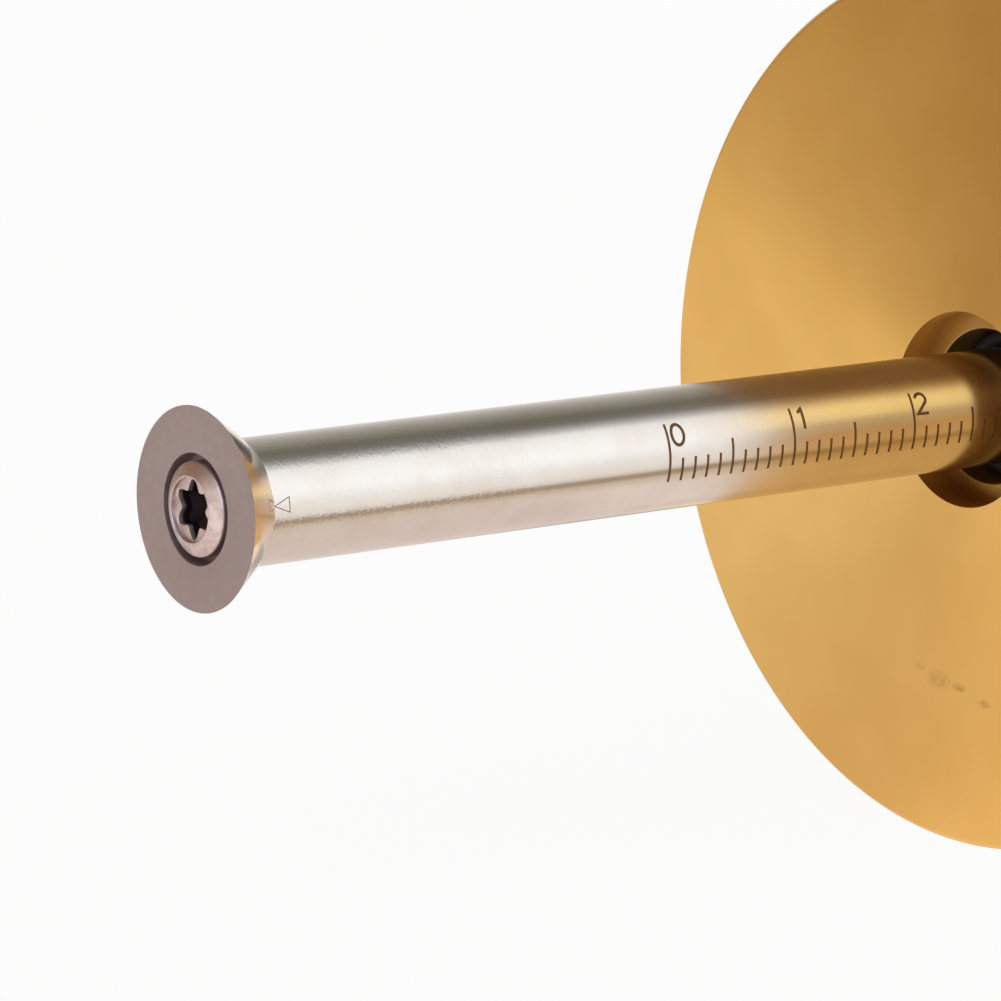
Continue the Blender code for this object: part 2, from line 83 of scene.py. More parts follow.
def rise(node):
    """How far above the rod's axis a node starts and ends."""
    low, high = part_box(node)
    return low.z - AXIS_HEIGHT, high.z - AXIS_HEIGHT


CUTTER_FRONT, CUTTER_BACK = span("cutter_wheel")
ROD_FRONT, ROD_BACK = span("rod")
ROD_RADIUS = girth("rod")
NUT_FRONT, NUT_BACK = span("adjuster_nut")
COLLAR_FRONT, HEAD_BACK = span("rear_collar")
TAIL_END = FENCE_HIGH.x - FACE_X
SCALE_ZERO = CUTTER_FRONT + HEAD_BACK
SEAT_ROOM = 0.0001
GLAND_END = span("front_grip_ring")[1] + SEAT_ROOM
NUT_SEAT = span("thrust_washer")[0] - SEAT_ROOM

# How finely round pieces, corners and figures are divided
DISC_LINES = 288
ROD_LINES = 192
SCREW_LINES = 192
SMALL_LINES = 96
FLOOR_LINES = 64
EASE_STEPS = 4
THREAD_STEPS = 10
KNURL_STEPS = 4
ARC_STEP = math.radians(15)
BOW_STEP = 15
MARK_STEP = math.radians(3)

# What repeats round a piece
KNURL_GROOVES = {"adjuster_nut": 56, "fence_lock_knob": 28, "collar_lock_knob": 28}
SOCKET_LOBES = 6

# Edges that turn by more than this are shaded sharp
SHARP_ANGLE = math.radians(35)
# How far a cutting block reaches past what it cuts
CUT_OVERRUN = 0.002
# Millimetres in a metre
MM = 1000.0

# Shares of a thread's pitch: how deep it is cut, and how deep the plain root beside it lies
THREAD_DEPTH_SHARE = 0.58
TAIL_ROOT_SHARE = 0.62
STUD_ROOT_SHARE = 0.6
# How much steeper than a plain ridge a thread's flanks are, and what its flat root takes from its height
FLANK_SHARE = 1.5
ROOT_FLAT_SHARE = 0.2
# The room in a thumb screw's hole and in its knob's bore, and how far the socket narrows to its floor
HOLE_SHARE = 1.05
KNOB_BORE_SHARE = 1.03
SOCKET_DRAFT_SHARE = 0.6
# Half the mouth of the stop ring
RING_MOUTH = math.radians(36)
# The sharpest corner that a marked line keeps its width round
MITRE_SHARE = 0.5


def length(name, text, default):
    """A size that a user can change."""
    return bpy.props.FloatProperty(name=name, description=text, default=default, unit="LENGTH", precision=5)


def turn(name, text, degrees):
    """An angle that a user can change."""
    return bpy.props.FloatProperty(
        name=name, description=text, default=math.radians(degrees), subtype="ANGLE", precision=3
    )


def tint(name, text, colour):
    """A colour that a user can change."""
    return bpy.props.FloatVectorProperty(
        name=name, description=text, default=colour, subtype="COLOR", size=3, min=0, max=1
    )


class GaugeSizes(bpy.types.PropertyGroup):
    """Sizes of the fence, the rod, the cutter and the adjuster that the frame's boxes don't give."""

    disc_thickness: length("Disc thickness", "Thickness of the fence's disc", 0.006)
    front_chamfer: length("Front chamfer", "Chamfer round the fence's working face", 0.0003)
    back_chamfer: length("Back chamfer", "Chamfer round the back of the disc", 0.0008)
    edge_break: length("Edge break", "Rounding left on a turned edge", 0.00012)
    recess_radius: length("Recess radius", "Radius of the recess that takes the cutter", 0.00635)
    recess_depth: length("Recess depth", "Depth of the recess that takes the cutter", 0.0022)
    gland_radius: length("Gland radius", "Radius of the seat of the front grip ring", 0.00505)
    gland_depth: length("Gland depth", "Depth of the grip ring's seat from the face", GLAND_END)
    bore_radius: length("Bore radius", "Radius of the bores that the rod slides in", 0.0038)
    hub_radius: length("Hub radius", "Radius of the fence's hub", 0.0105)
    hub_end: length("Hub end", "Where the hub ends, back from the face", 0.0144)
    hub_fillet: length("Hub fillet", "Hollow between the disc and the hub", 0.0009)
    hub_chamfer: length("Hub chamfer", "Chamfer at the hub's end", 0.0005)
    tail_radius: length("Tail radius", "Outside radius of the fence's thread", 0.007)
    tail_pitch: length("Tail pitch", "Pitch of the fence's thread", 0.001)
    rest_flat: length("Rest flat", "Half the width of the flat on the rim", 0.0015)
    seal_section: length("Grip ring section", "Thickness of a grip ring", 0.0012)
    nut_chamfer: length("Nut chamfer", "Chamfer at each end of the nut's knurl", 0.0006)
    nut_knurl: length("Nut knurl depth", "Depth of the nut's knurl", 0.00048)
    nut_pocket: length("Nut pocket radius", "Radius of the pocket for the collar's flange", 0.009)
    nut_shoulder: length("Nut shoulder", "Where the nut's pocket ends, back from the face", NUT_SEAT)
    nut_lip: length("Nut lip", "Width of the lip behind the retaining ring", 0.00075)
    nut_groove: length("Nut groove", "Depth of the retaining ring's groove", 0.0005)
    ring_room: length("Ring room", "Length of the retaining ring's groove", 0.0007)
    collar_radius: length("Collar radius", "Radius of the rear collar", 0.0085)
    collar_neck: length("Collar neck", "Radius of the neck inside the nut", 0.0073)
    collar_start: length("Collar start", "Where the collar comes out of the nut", NUT_BACK + 0.0002)
    collar_chamfer: length("Collar chamfer", "Chamfer at the collar's back edge", 0.0006)
    flange_length: length("Flange length", "Thickness of the collar's flange", 0.0008)
    stud_radius: length("Stud radius", "Outside radius of a thumb screw's thread", 0.002)
    stud_pitch: length("Stud pitch", "Pitch of a thumb screw's thread", 0.0007)
    knob_neck: length("Knob neck", "Radius of the neck under a knob's knurl", 0.0029)
    knob_neck_length: length("Knob neck length", "Length of the neck under a knob's knurl", 0.001)
    knob_chamfer: length("Knob chamfer", "Chamfer at each end of a knob's knurl", 0.0005)
    knob_knurl: length("Knob knurl depth", "Depth of a knob's knurl", 0.00034)
    knob_dish: length("Knob dish", "Radius of the dish in a knob's top", 0.0022)
    dish_depth: length("Dish depth", "Depth of the dish in a knob's top", 0.0004)
    bevel_back: length("Bevel back", "Radius of the cutter's bevel where it meets the rod", 0.00405)
    pocket_radius: length("Pocket radius", "Radius of the cutter's pocket for the screw", 0.00325)
    pocket_depth: length("Pocket depth", "Depth of the cutter's pocket for the screw", 0.0012)
    head_radius: length("Head radius", "Radius of the cutter screw's head", 0.0028)
    head_height: length("Head height", "Height of the cutter screw's head", 0.0015)
    head_drop: length("Head drop", "How far the head's crown falls to its side", 0.00045)
    land_radius: length("Land radius", "Radius of the crown's edge round the socket", 0.0020)
    socket_rim: length("Socket rim", "Radius of the step round the socket", 0.00188)
    socket_step: length("Socket step", "Depth of the step round the socket", 0.00026)
    socket_outer: length("Socket outer", "Radius of the socket to the tips of its lobes", 0.00175)
    socket_inner: length("Socket inner", "Radius of the socket between its lobes", 0.00118)
    socket_depth: length("Socket depth", "Depth of the socket", 0.001)
    shank_radius: length("Shank radius", "Radius of the cutter screw's shank", 0.002)
    rod_chamfer: length("Rod chamfer", "Chamfer at the rod's tail", 0.0005)
    rod_front_chamfer: length("Rod front chamfer", "Chamfer at the rod's front", 0.00015)
    dimple_radius: length("Dimple radius", "Radius of the centre dimple in the rod's tail", 0.0011)
    groove_depth: length("Groove depth", "Depth of the stop ring's groove", 0.0005)
    groove_room: length("Groove room", "Room on each side of the stop ring", 0.0001)


class ScaleSizes(bpy.types.PropertyGroup):
    """The scale on the rod and the small mark behind the cutter."""

    reach: bpy.props.IntProperty(name="Reach", description="Last centimetre of the scale", default=14)
    foot: turn("Foot", "Where every line starts, round from the top", 111.0)
    long_top: turn("Long line", "Where a centimetre's line ends", 55.1)
    middle_top: turn("Middle line", "Where a half centimetre's line ends", 76.3)
    short_top: turn("Short line", "Where a millimetre's line ends", 88.7)
    figure_foot: turn("Figure foot", "Where a figure stands", 76.6)
    figure_top: turn("Figure top", "Where a figure ends", 56.6)
    figure_width: length("Figure width", "Width of a figure", 0.00093)
    figure_start: length("Figure start", "From a line to its figure", 0.00034)
    figure_space: length("Figure space", "From one figure of a pair to the next", 0.00115)
    line_width: length("Line width", "Width of a scale line", 0.00018)
    stroke_width: length("Stroke width", "Width of a figure's stroke", 0.00021)
    mark_width: length("Mark width", "Line width of the mark behind the cutter", 0.00005)
    mark_centre: turn("Mark centre", "Where the mark's point lies, round from the top", 84.3)
    mark_half: turn("Mark half", "Half the mark's height, round the rod", 6.8)
    mark_length: length("Mark length", "Length of the mark along the rod", 0.00105)
    mark_start: length("Mark start", "From the rod's front to the mark's point", 0.00015)
    proud: length("Proud", "How far a marking stands out of the rod", 0.000006)
    sunk: length("Sunk", "How far a marking reaches into the rod", 0.00002)


class GaugeColours(bpy.types.PropertyGroup):
    """Colours of the metals, the rubber, the plastic and the markings."""

    brass: tint("Brass", "Clean turned brass", (0.89, 0.58, 0.185))
    brass_deep: tint("Deep brass", "Brass where it has darkened", (0.855, 0.545, 0.16))
    brass_green: tint("Greenish brass", "Brass with a first trace of tarnish", (0.84, 0.57, 0.165))
    # This colour also paints the shade deep in the fence's recess.
    stain: tint("Stain", "Old fingermarks on the brass", (0.26, 0.15, 0.05))
    steel: tint("Steel", "Ground steel of the rod", (0.70, 0.68, 0.65))
    steel_warm: tint("Warm steel", "Steel with a trace of oil", (0.64, 0.59, 0.54))
    carbide: tint("Carbide", "Ground face of the cutter", (0.425, 0.363, 0.368))
    bevel: tint("Bevel", "Polished bevel of the cutter", (0.88, 0.82, 0.76))
    screw: tint("Screw", "Plated screw", (0.75, 0.65, 0.63))
    # Painted shade: the near black that the inside of the screw's socket is coloured.
    socket: tint("Socket", "Inside of the screw's socket", (0.030, 0.022, 0.022))
    spring: tint("Spring steel", "Phosphated spring steel", (0.11, 0.105, 0.10))
    rubber: tint("Rubber", "Grip rings", (0.010, 0.010, 0.010))
    nylon: tint("Nylon", "Pads and thrust washer", (0.80, 0.78, 0.71))
    marking: tint("Marking", "Laser-dark lines on the rod", (0.15, 0.066, 0.016))


class StudioSettings(bpy.types.PropertyGroup):
    """The pale studio, its lamps and its camera."""

    camera_place: bpy.props.FloatVectorProperty(
        name="Camera place", description="Where the camera stands", size=3, subtype="TRANSLATION",
        default=(FACE_X - 0.21565, -0.22951, AXIS_HEIGHT + 0.04937), precision=5,
    )
    camera_aim: bpy.props.FloatVectorProperty(
        name="Camera aim", description="Which way the camera looks", size=3, subtype="DIRECTION",
        default=(0.60341, 0.77826, -0.17377), precision=5,
    )
    lens: bpy.props.FloatProperty(name="Lens", description="Focal length in millimetres", default=177.0)
    sensor: bpy.props.FloatProperty(name="Sensor", description="Sensor width in millimetres", default=36.0)
    floor_radius: length("Floor radius", "Radius of the round pale floor", 3.0)
    floor_white: bpy.props.FloatProperty(
        name="Floor white", description="How white the camera sees the floor", default=0.95
    )
    key_power: bpy.props.FloatProperty(name="Key power", description="Power of the key lamp", default=0.3)
    key_size: length("Key size", "Side of the soft key lamp", 0.30)
    key_place: bpy.props.FloatVectorProperty(
        name="Key place", description="Where the key lamp hangs", size=3, subtype="TRANSLATION",
        default=(-0.42, -0.354, 0.347),
    )


class Wire:
    """A socket's value, on which Python's operators add Math nodes."""

    def __init__(self, finish, socket):
        self.finish = finish
        self.socket = socket

    def maths(self, operation, first, second=None):
        """A Math node on one or two numbers or wires."""
        inputs = {0: first} if second is None else {0: first, 1: second}
        return self.finish.node("ShaderNodeMath", {"operation": operation}, inputs)

    def __add__(self, other):
        return self.maths("ADD", self, other)

    __radd__ = __add__

    def __sub__(self, other):
        return self.maths("SUBTRACT", self, other)

    def __rsub__(self, other):
        return self.maths("SUBTRACT", other, self)

    def __mul__(self, other):
        return self.maths("MULTIPLY", self, other)

    __rmul__ = __mul__

    def __truediv__(self, other):
        return self.maths("DIVIDE", self, other)

    def __pow__(self, other):
        return self.maths("POWER", self, other)

    def __gt__(self, other):
        return self.maths("GREATER_THAN", self, other)

    def __lt__(self, other):
        return self.maths("LESS_THAN", self, other)

    def at_least(self, other):
        """The larger of the two."""
        return self.maths("MAXIMUM", self, other)

    def round_to(self, other):
        """The angle whose rise is this and whose run is the other."""
        return self.maths("ARCTAN2", self, other)


def opaque(colour):
    """A colour with its alpha. A wire stays as it is."""
    return colour if isinstance(colour, Wire) else (*colour, 1.0)


class Finish:
    """A node tree under construction, for a material or for the world."""

    def __init__(self, tree):
        self.tree = tree
        tree.nodes.clear()

    def node(self, kind, settings=None, inputs=None, output=0):
        """One node: its settings first, then the values or wires of its sockets."""
        made = self.tree.nodes.new(kind)
        for name, value in (settings or {}).items():
            if name == "stops":
                self.set_stops(made.color_ramp, value)
            else:
                setattr(made, name, value)
        for name, value in (inputs or {}).items():
            if isinstance(value, Wire):
                self.tree.links.new(value.socket, made.inputs[name])
            else:
                made.inputs[name].default_value = value
        return Wire(self, made.outputs[output]) if made.outputs else made

    def set_stops(self, ramp, stops):
        """Give a ramp its stops, as pairs of place and colour."""
        while len(ramp.elements) < len(stops):
            ramp.elements.new(1.0)
        for element, (place, colour) in zip(ramp.elements, stops):
            element.position = place
            element.color = opaque(colour)

    def place_mm(self):
        """The point on the piece, in millimetres from its own origin."""
        point = self.node("ShaderNodeTexCoord", output="Object")
        return self.node("ShaderNodeVectorMath", {"operation": "SCALE"}, {0: point, "Scale": MM})

    def split(self, vector):
        """The three numbers of a vector."""
        made = self.node("ShaderNodeSeparateXYZ", inputs={0: vector})
        sockets = made.socket.node.outputs
        return [Wire(self, socket) for socket in sockets]

    def ray(self, kind):
        """1 for rays of this kind, and 0 for others."""
        return self.node("ShaderNodeLightPath", output=kind)

    def noise(self, where, scale, detail=2.0, roughness=0.5):
        """Soft noise from 0 to 1, over a point or over a single number."""
        if where.socket.type == "VECTOR":
            inputs = {"Vector": where}
            dimensions = "3D"
        else:
            inputs = {"W": where}
            dimensions = "1D"
        inputs.update({"Scale": scale, "Detail": detail, "Roughness": roughness})
        return self.node("ShaderNodeTexNoise", {"noise_dimensions": dimensions}, inputs)

    def fade(self, value, low, high):
        """A smooth step from 0 at low to 1 at high."""
        settings = {"interpolation_type": "SMOOTHSTEP"}
        return self.node("ShaderNodeMapRange", settings, {0: value, 1: low, 2: high, 3: 0.0, 4: 1.0})

    def between(self, value, low, high, soft):
        """1 between two places and 0 beyond them, with soft edges."""
        past_low = self.fade(value, low - soft, low + soft)
        return past_low * (1.0 - self.fade(value, high - soft, high + soft))

    def mix(self, share, first, second):
        """A colour between two others."""
        inputs = {0: share, 6: opaque(first), 7: opaque(second)}
        return self.node("ShaderNodeMix", {"data_type": "RGBA"}, inputs, output=2)

    def tinge(self, colour, other, noise, low, high, share):
        """A colour with this share of another where a noise is high."""
        return self.mix(self.fade(noise, low, high) * share, colour, other)

    def ramp(self, place, stops):
        """Tones that follow one another along a number from 0 to 1."""
        return self.node("ShaderNodeValToRGB", {"stops": stops}, {0: place})

    def bump(self, height, depth, normal=None):
        """The normal of a surface with this relief, whose full height is depth."""
        inputs = {"Height": height, "Distance": depth, "Strength": 1.0}
        if normal is not None:
            inputs["Normal"] = normal
        return self.node("ShaderNodeBump", inputs=inputs)

    def surface(self, **inputs):
        """A Principled surface on the material's output."""
        named = {name.replace("_", " ").title(): value for name, value in inputs.items()}
        if "Ior" in named:
            named["IOR"] = named.pop("Ior")
        shader = self.node("ShaderNodeBsdfPrincipled", inputs=named)
        self.node("ShaderNodeOutputMaterial", inputs={"Surface": shader})


def start_finish(name):
    """The finish that fills a new material."""
    material = bpy.data.materials.new(name)
    material.use_nodes = True
    return Finish(material.node_tree)


# The nodes that keep their solids, and the finish of each
INNER_FINISHES = {
    "thrust_washer": "white_nylon",
    "fence_lock_pad": "white_nylon",
    "collar_lock_pad": "white_nylon",
    "nut_retaining_ring": "phosphated_spring",
}

# How deep the turning marks are, and the slope by which their flanks lean outward
RING_DEPTH = 0.0000012
RING_LEAN = 0.14

# How deep the rod's scuffs are, and how many millimetres from its front they begin and cease to fade
SCUFF_DEPTH = 0.000016
SCUFF_REACH = (14.0, 26.0)

# How deep the fine grain of the steel and the carbide is
ROD_GRAIN_DEPTH = 0.0000009
CUTTER_GRAIN_DEPTH = 0.0000035
SCREW_GRAIN_DEPTH = 0.000005

# How many millimetres below a knurl's crests the grime is full, and where it ends
GRIME_BELOW = (0.46, 0.10)

# Plain finishes: the colour, how much of it the mottle has, the roughness, how metallic it is, how fine the
# grain is and how deep
PLAIN_FINISHES = {
    "phosphated_spring": ("spring", 0.5, 0.34, 1.0, 9.0, 0.000004),
    "grip_rubber": ("rubber", 2.0, 0.55, 0.0, 8.0, 0.000006),
    "white_nylon": ("nylon", 0.9, 0.42, 0.0, 5.0, 0.000003),
    "laser_mark": ("marking", 0.5, 0.48, 0.3, 14.0, 0.000003),
}

# Old marks on the fence's face: millimetres up from its axis and towards the scale's side, how far each
# reaches, and how dark it is
STAINS = (
    (-18.1, -1.8, 1.6, 0.20),
    (-18.3, 0.1, 0.8, 0.40),
    (-19.0, 2.5, 0.75, 0.32),
    (-17.5, -3.6, 0.7, 0.15),
)


class Turned:
    """Where a point of a turned piece lies, in millimetres: up, to the side, along and off its axis."""

    def __init__(self, f, point):
        self.up, self.side, self.along = f.split(point)
        self.radius = (self.up * self.up + self.side * self.side) ** 0.5

    def across(self):
        """The number that runs across the turning marks, on a face as on a side."""
        return self.radius + self.along


def brass_finish(name, colours, recess=0.0, crest=0.0):
    """Satin turned brass: rings that lean outward, a cloudy tone, grime below a knurl's crests, and painted
    shade deep in the fence's recess.
    """
    f = start_finish(name)
    point = f.place_mm()
    at = Turned(f, point)
    clouds = f.noise(point, 0.13)
    patches = f.noise(point, 0.35)
    fine_rings = f.noise(at.across(), 9.0, 3.0, 0.65)
    wide_rings = f.noise(at.across(), 1.3)
    specks = f.noise(point, 2.6, 2.0, 0.6)
    colour = f.mix(f.fade(clouds, 0.32, 0.68), colours.brass_deep, colours.brass)
    colour = f.tinge(colour, colours.brass_green, patches, 0.50, 0.74, 0.35)
    colour = f.tinge(colour, colours.stain, specks, 0.72, 0.80, 0.12)
    roughness = 0.30 + clouds * 0.01 + fine_rings * 0.04
    if recess:
        # Painted shade: the recess is darkened towards its floor with the stain colour.
        sunk = f.fade(at.along, 0.3, 2.0) * (1.0 - f.fade(at.radius, recess * MM, recess * MM + 0.1))
        colour = f.mix(sunk * 0.62, colour, colours.stain)
        ragged = (f.fade(f.noise(point, 3.0, 3.0, 0.6), 0.34, 0.60) + 0.3) * (at.along < 1.0)
        for stain_up, stain_side, reach, share in STAINS:
            away = (((at.up - stain_up) * 2.0) ** 2.0 + (at.side - stain_side) ** 2.0) ** 0.5
            near = 1.0 - f.fade(away, reach * 0.3, reach)
            colour = f.mix(near * ragged * share, colour, colours.stain)
    if crest:
        grime = 1.0 - f.fade(at.radius, *[crest * MM - below for below in GRIME_BELOW])
        colour = f.mix(grime * 0.75, colour, colours.stain)
        roughness = roughness + grime * 0.18
    relief = fine_rings * 0.7 + wide_rings * 0.3 - at.radius * (RING_LEAN / RING_DEPTH / MM)
    f.surface(
        base_color=colour, roughness=roughness, metallic=1.0, anisotropic=0.9,
        anisotropic_rotation=0.25, normal=f.bump(relief, RING_DEPTH),
    )


def steel_finish(name, colours):
    """Ground steel: fine marks round the rod, faint streaks and a trace of oil."""
    f = start_finish(name)
    point = f.place_mm()
    at = Turned(f, point)
    way = at.side.round_to(at.up)
    stretched = f.node("ShaderNodeCombineXYZ", inputs={0: way * 3.0, 1: at.along * 7.0, 2: at.radius})
    marks = f.noise(stretched, 1.6, 3.0, 0.6)
    scuffs = f.noise(f.node("ShaderNodeCombineXYZ", inputs={0: way * 9.0, 1: at.along * 5.0}), 1.0, 2.0, 0.7)
    scuffs = scuffs * (1.0 - f.fade(at.along - ROD_FRONT * MM, *SCUFF_REACH))
    film = f.noise(point, 0.30, 3.0, 0.55)
    grain = f.noise(point, 7.5, 2.0, 0.6)
    colour = f.tinge(colours.steel, colours.steel_warm, film, 0.36, 0.70, 0.5)
    colour = f.tinge(colour, colours.spring, grain, 0.58, 0.85, 0.22)
    roughness = 0.135 + film * 0.03 + marks * 0.04
    fine = f.bump(marks * 0.5 + grain * 0.5, ROD_GRAIN_DEPTH)
    f.surface(
        base_color=colour, roughness=roughness, metallic=1.0, anisotropic=0.55,
        anisotropic_rotation=0.25, normal=f.bump(scuffs, SCUFF_DEPTH, fine),
    )


def cutter_finish(name, colours, sizes):
    """Carbide: a finely ground matt face, and a bevel polished like a mirror."""
    f = start_finish(name)
    point = f.place_mm()
    at = Turned(f, point)
    back = f.fade(at.along, 0.03, 0.06) * (at.radius > sizes.pocket_radius * MM + 0.3)
    mottle = f.noise(point, 1.1, 3.0, 0.6)
    grain = f.noise(point, 16.0, 2.0, 0.7)
    polish = f.noise(at.across(), 6.0)
    face = f.tinge(colours.carbide, colours.screw, mottle, 0.35, 0.70, 0.10)
    face = f.tinge(face, colours.spring, grain, 0.45, 0.80, 0.15)
    colour = f.mix(back, face, colours.bevel)
    roughness = 0.46 + mottle * 0.10 - back * (0.46 - polish * 0.07)
    relief = grain * (1.0 - back) + polish * back * 0.15
    f.surface(
        base_color=colour, roughness=roughness, metallic=0.9, normal=f.bump(relief, CUTTER_GRAIN_DEPTH),
    )


def screw_finish(name, colours, sizes):
    """Plated screw: a slightly rough pinkish skin, with painted shade that turns the socket near black
    inside.
    """
    f = start_finish(name)
    point = f.place_mm()
    at = Turned(f, point)
    blotch = f.noise(point, 1.8, 3.0, 0.6)
    grain = f.noise(point, 12.0, 3.0, 0.65)
    step_at = sizes.socket_step * MM
    # Painted shade: the skin turns near black deeper in the socket.
    inside = f.fade(at.along, step_at + 0.12, step_at + 0.42) * (at.radius < sizes.socket_rim * MM)
    skin = f.tinge(colours.screw, colours.carbide, blotch, 0.38, 0.68, 0.5)
    skin = f.tinge(skin, colours.spring, grain, 0.50, 0.80, 0.30)
    colour = f.mix(inside, skin, colours.socket)
    roughness = 0.42 + blotch * 0.10 + inside * 0.20
    f.surface(
        base_color=colour, roughness=roughness, metallic=1.0, normal=f.bump(grain, SCREW_GRAIN_DEPTH),
    )


def plain_finish(name, colour, mottle_share, roughness, metallic, scale, depth):
    """A moulded or phosphated surface: a light mottle of this share of its colour, and a fine grain."""
    f = start_finish(name)
    point = f.place_mm()
    shade = [channel * mottle_share for channel in colour]
    mottle = f.noise(point, scale * 0.2, 3.0, 0.6)
    grain = f.noise(point, scale, 3.0, 0.65)
    mixed = f.tinge(colour, shade, mottle, 0.35, 0.70, 0.6)
    rough = roughness + grain * 0.12
    f.surface(base_color=mixed, roughness=rough, metallic=metallic, normal=f.bump(grain, depth))


def eased(corners):
    """Outline points with each corner rounded by its own ease, given as (place, radius, ease)."""
    points = []
    for index, (place, radius, ease) in enumerate(corners):
        here = Vector((place, radius))
        if ease == 0:
            points.append((here.x, here.y))
            continue
        before = Vector(corners[index - 1][:2]) - here
        after = Vector(corners[(index + 1) % len(corners)][:2]) - here
        reach = min(ease, before.length / 2, after.length / 2)
        start = here + before.normalized() * reach
        end = here + after.normalized() * reach
        for step in range(EASE_STEPS + 1):
            share = step / EASE_STEPS
            point = start * (1 - share) ** 2 + here * 2 * share * (1 - share) + end * share**2
            points.append((point.x, point.y))
    return points


def knurl(front, back, crest, depth, count):
    """Rings of a diamond knurl: two sets of grooves cross and leave small pyramids."""
    lines = count * KNURL_STEPS
    pitch = 2 * math.pi * crest / count
    rows = max(2, round((back - front) / pitch * KNURL_STEPS))
    across = np.arange(lines) / KNURL_STEPS
    rings = []
    for row in range(rows + 1):
        slant = row / KNURL_STEPS
        height = np.minimum(ridge(across + slant), ridge(across - slant))
        rings.append((front + (back - front) * row / rows, crest - depth * (1 - height)))
    return rings


def ridge(place):
    """0 at each whole number and 1 halfway between."""
    return 1 - 2 * np.abs(place % 1 - 0.5)


def thread(front, back, crest, pitch, lines):
    """Rings of a right-hand thread with flat crests and roots."""
    depth = pitch * THREAD_DEPTH_SHARE
    rows = max(1, round((back - front) / pitch * THREAD_STEPS))
    round_share = np.arange(lines) / lines
    rings = []
    for row in range(rows + 1):
        place = front + (back - front) * row / rows
        height = np.clip(ridge(place / pitch - round_share) * FLANK_SHARE - ROOT_FLAT_SHARE, 0, 1)
        rings.append((place, crest - depth * (1 - height)))
    return rings


def spin(name, rings, lines):
    """A turned mesh from rings of (place, radius or radii). One that stays off the axis closes on itself."""
    shape = bmesh.new()
    angles = 2 * math.pi * np.arange(lines) / lines
    loops = []
    for place, radii in rings:
        if np.isscalar(radii) and radii == 0:
            loops.append(([shape.verts.new((0, 0, place))], None))
            continue
        reach = np.broadcast_to(radii, lines)
        points = [
            shape.verts.new((r * math.cos(a), r * math.sin(a), place)) for r, a in zip(reach, angles)
        ]
        loops.append((points, reach))
    if len(loops[0][0]) > 1 and len(loops[-1][0]) > 1:
        loops.append(loops[0])
    for (one, near), (two, far) in zip(loops, loops[1:]):
        for line in range(lines):
            after = (line + 1) % lines
            if near is None:
                shape.faces.new((one[0], two[after], two[line]))
            elif far is None:
                shape.faces.new((one[line], one[after], two[0]))
            elif near[line] == near[after] and far[line] == far[after]:
                shape.faces.new((one[line], one[after], two[after], two[line]))
            elif near[line] + far[after] < near[after] + far[line]:
                shape.faces.new((one[line], one[after], two[after]))
                shape.faces.new((one[line], two[after], two[line]))
            else:
                shape.faces.new((one[line], one[after], two[line]))
                shape.faces.new((one[after], two[after], two[line]))
    return to_object(name, shape)


def to_object(name, shape):
    """An object from this shape, with its faces turned out."""
    bmesh.ops.recalc_face_normals(shape, faces=shape.faces)
    mesh = bpy.data.meshes.new(name)
    shape.to_mesh(mesh)
    shape.free()
    piece = bpy.data.objects.new(name, mesh)
    bpy.context.scene.collection.objects.link(piece)
    return piece


def carve(piece, cutter):
    """Take the cutter's shape out of the piece for good."""
    step = piece.modifiers.new("carve", "BOOLEAN")
    step.operation = "DIFFERENCE"
    step.solver = "EXACT"
    step.object = cutter
    graph = bpy.context.evaluated_depsgraph_get()
    carved = bpy.data.meshes.new_from_object(piece.evaluated_get(graph))
    piece.modifiers.remove(step)
    worn = piece.data
    piece.data = carved
    bpy.data.meshes.remove(worn)
    bpy.data.objects.remove(cutter, do_unlink=True)


def dress(piece, finish, body, nodes=(), stand=LYING):
    """Shade the piece, put it in place and tie it to its body and the nodes it stands for."""
    piece.data.materials.clear()
    piece.data.materials.append(bpy.data.materials[finish])
    piece.data.shade_smooth()
    piece.data.set_sharp_from_angle(angle=SHARP_ANGLE)
    even = piece.modifiers.new("even_normals", "WEIGHTED_NORMAL")
    even.keep_sharp = True
    piece.matrix_world = stand
    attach(piece, body)
    if nodes:
        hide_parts(*nodes)


def lock_drill(node, radius, stand_x):
    """The cutter for a thumb screw's hole, upright over the rod at this place."""
    start = rise(f"{node}_pad")[0] - ROD_RADIUS / 2
    rings = [(start, 0), (start, radius), (FENCE_RADIUS, radius), (FENCE_RADIUS, 0)]
    drill = spin("lock_drill", rings, SMALL_LINES)
    drill.matrix_world = Matrix.Translation((stand_x, 0, AXIS_HEIGHT))
    bpy.context.view_layer.update()
    return drill


def lock_x(node):
    """Where a thumb screw stands along the rod."""
    low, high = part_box(f"{node}_stud")
    return (low.x + high.x) / 2


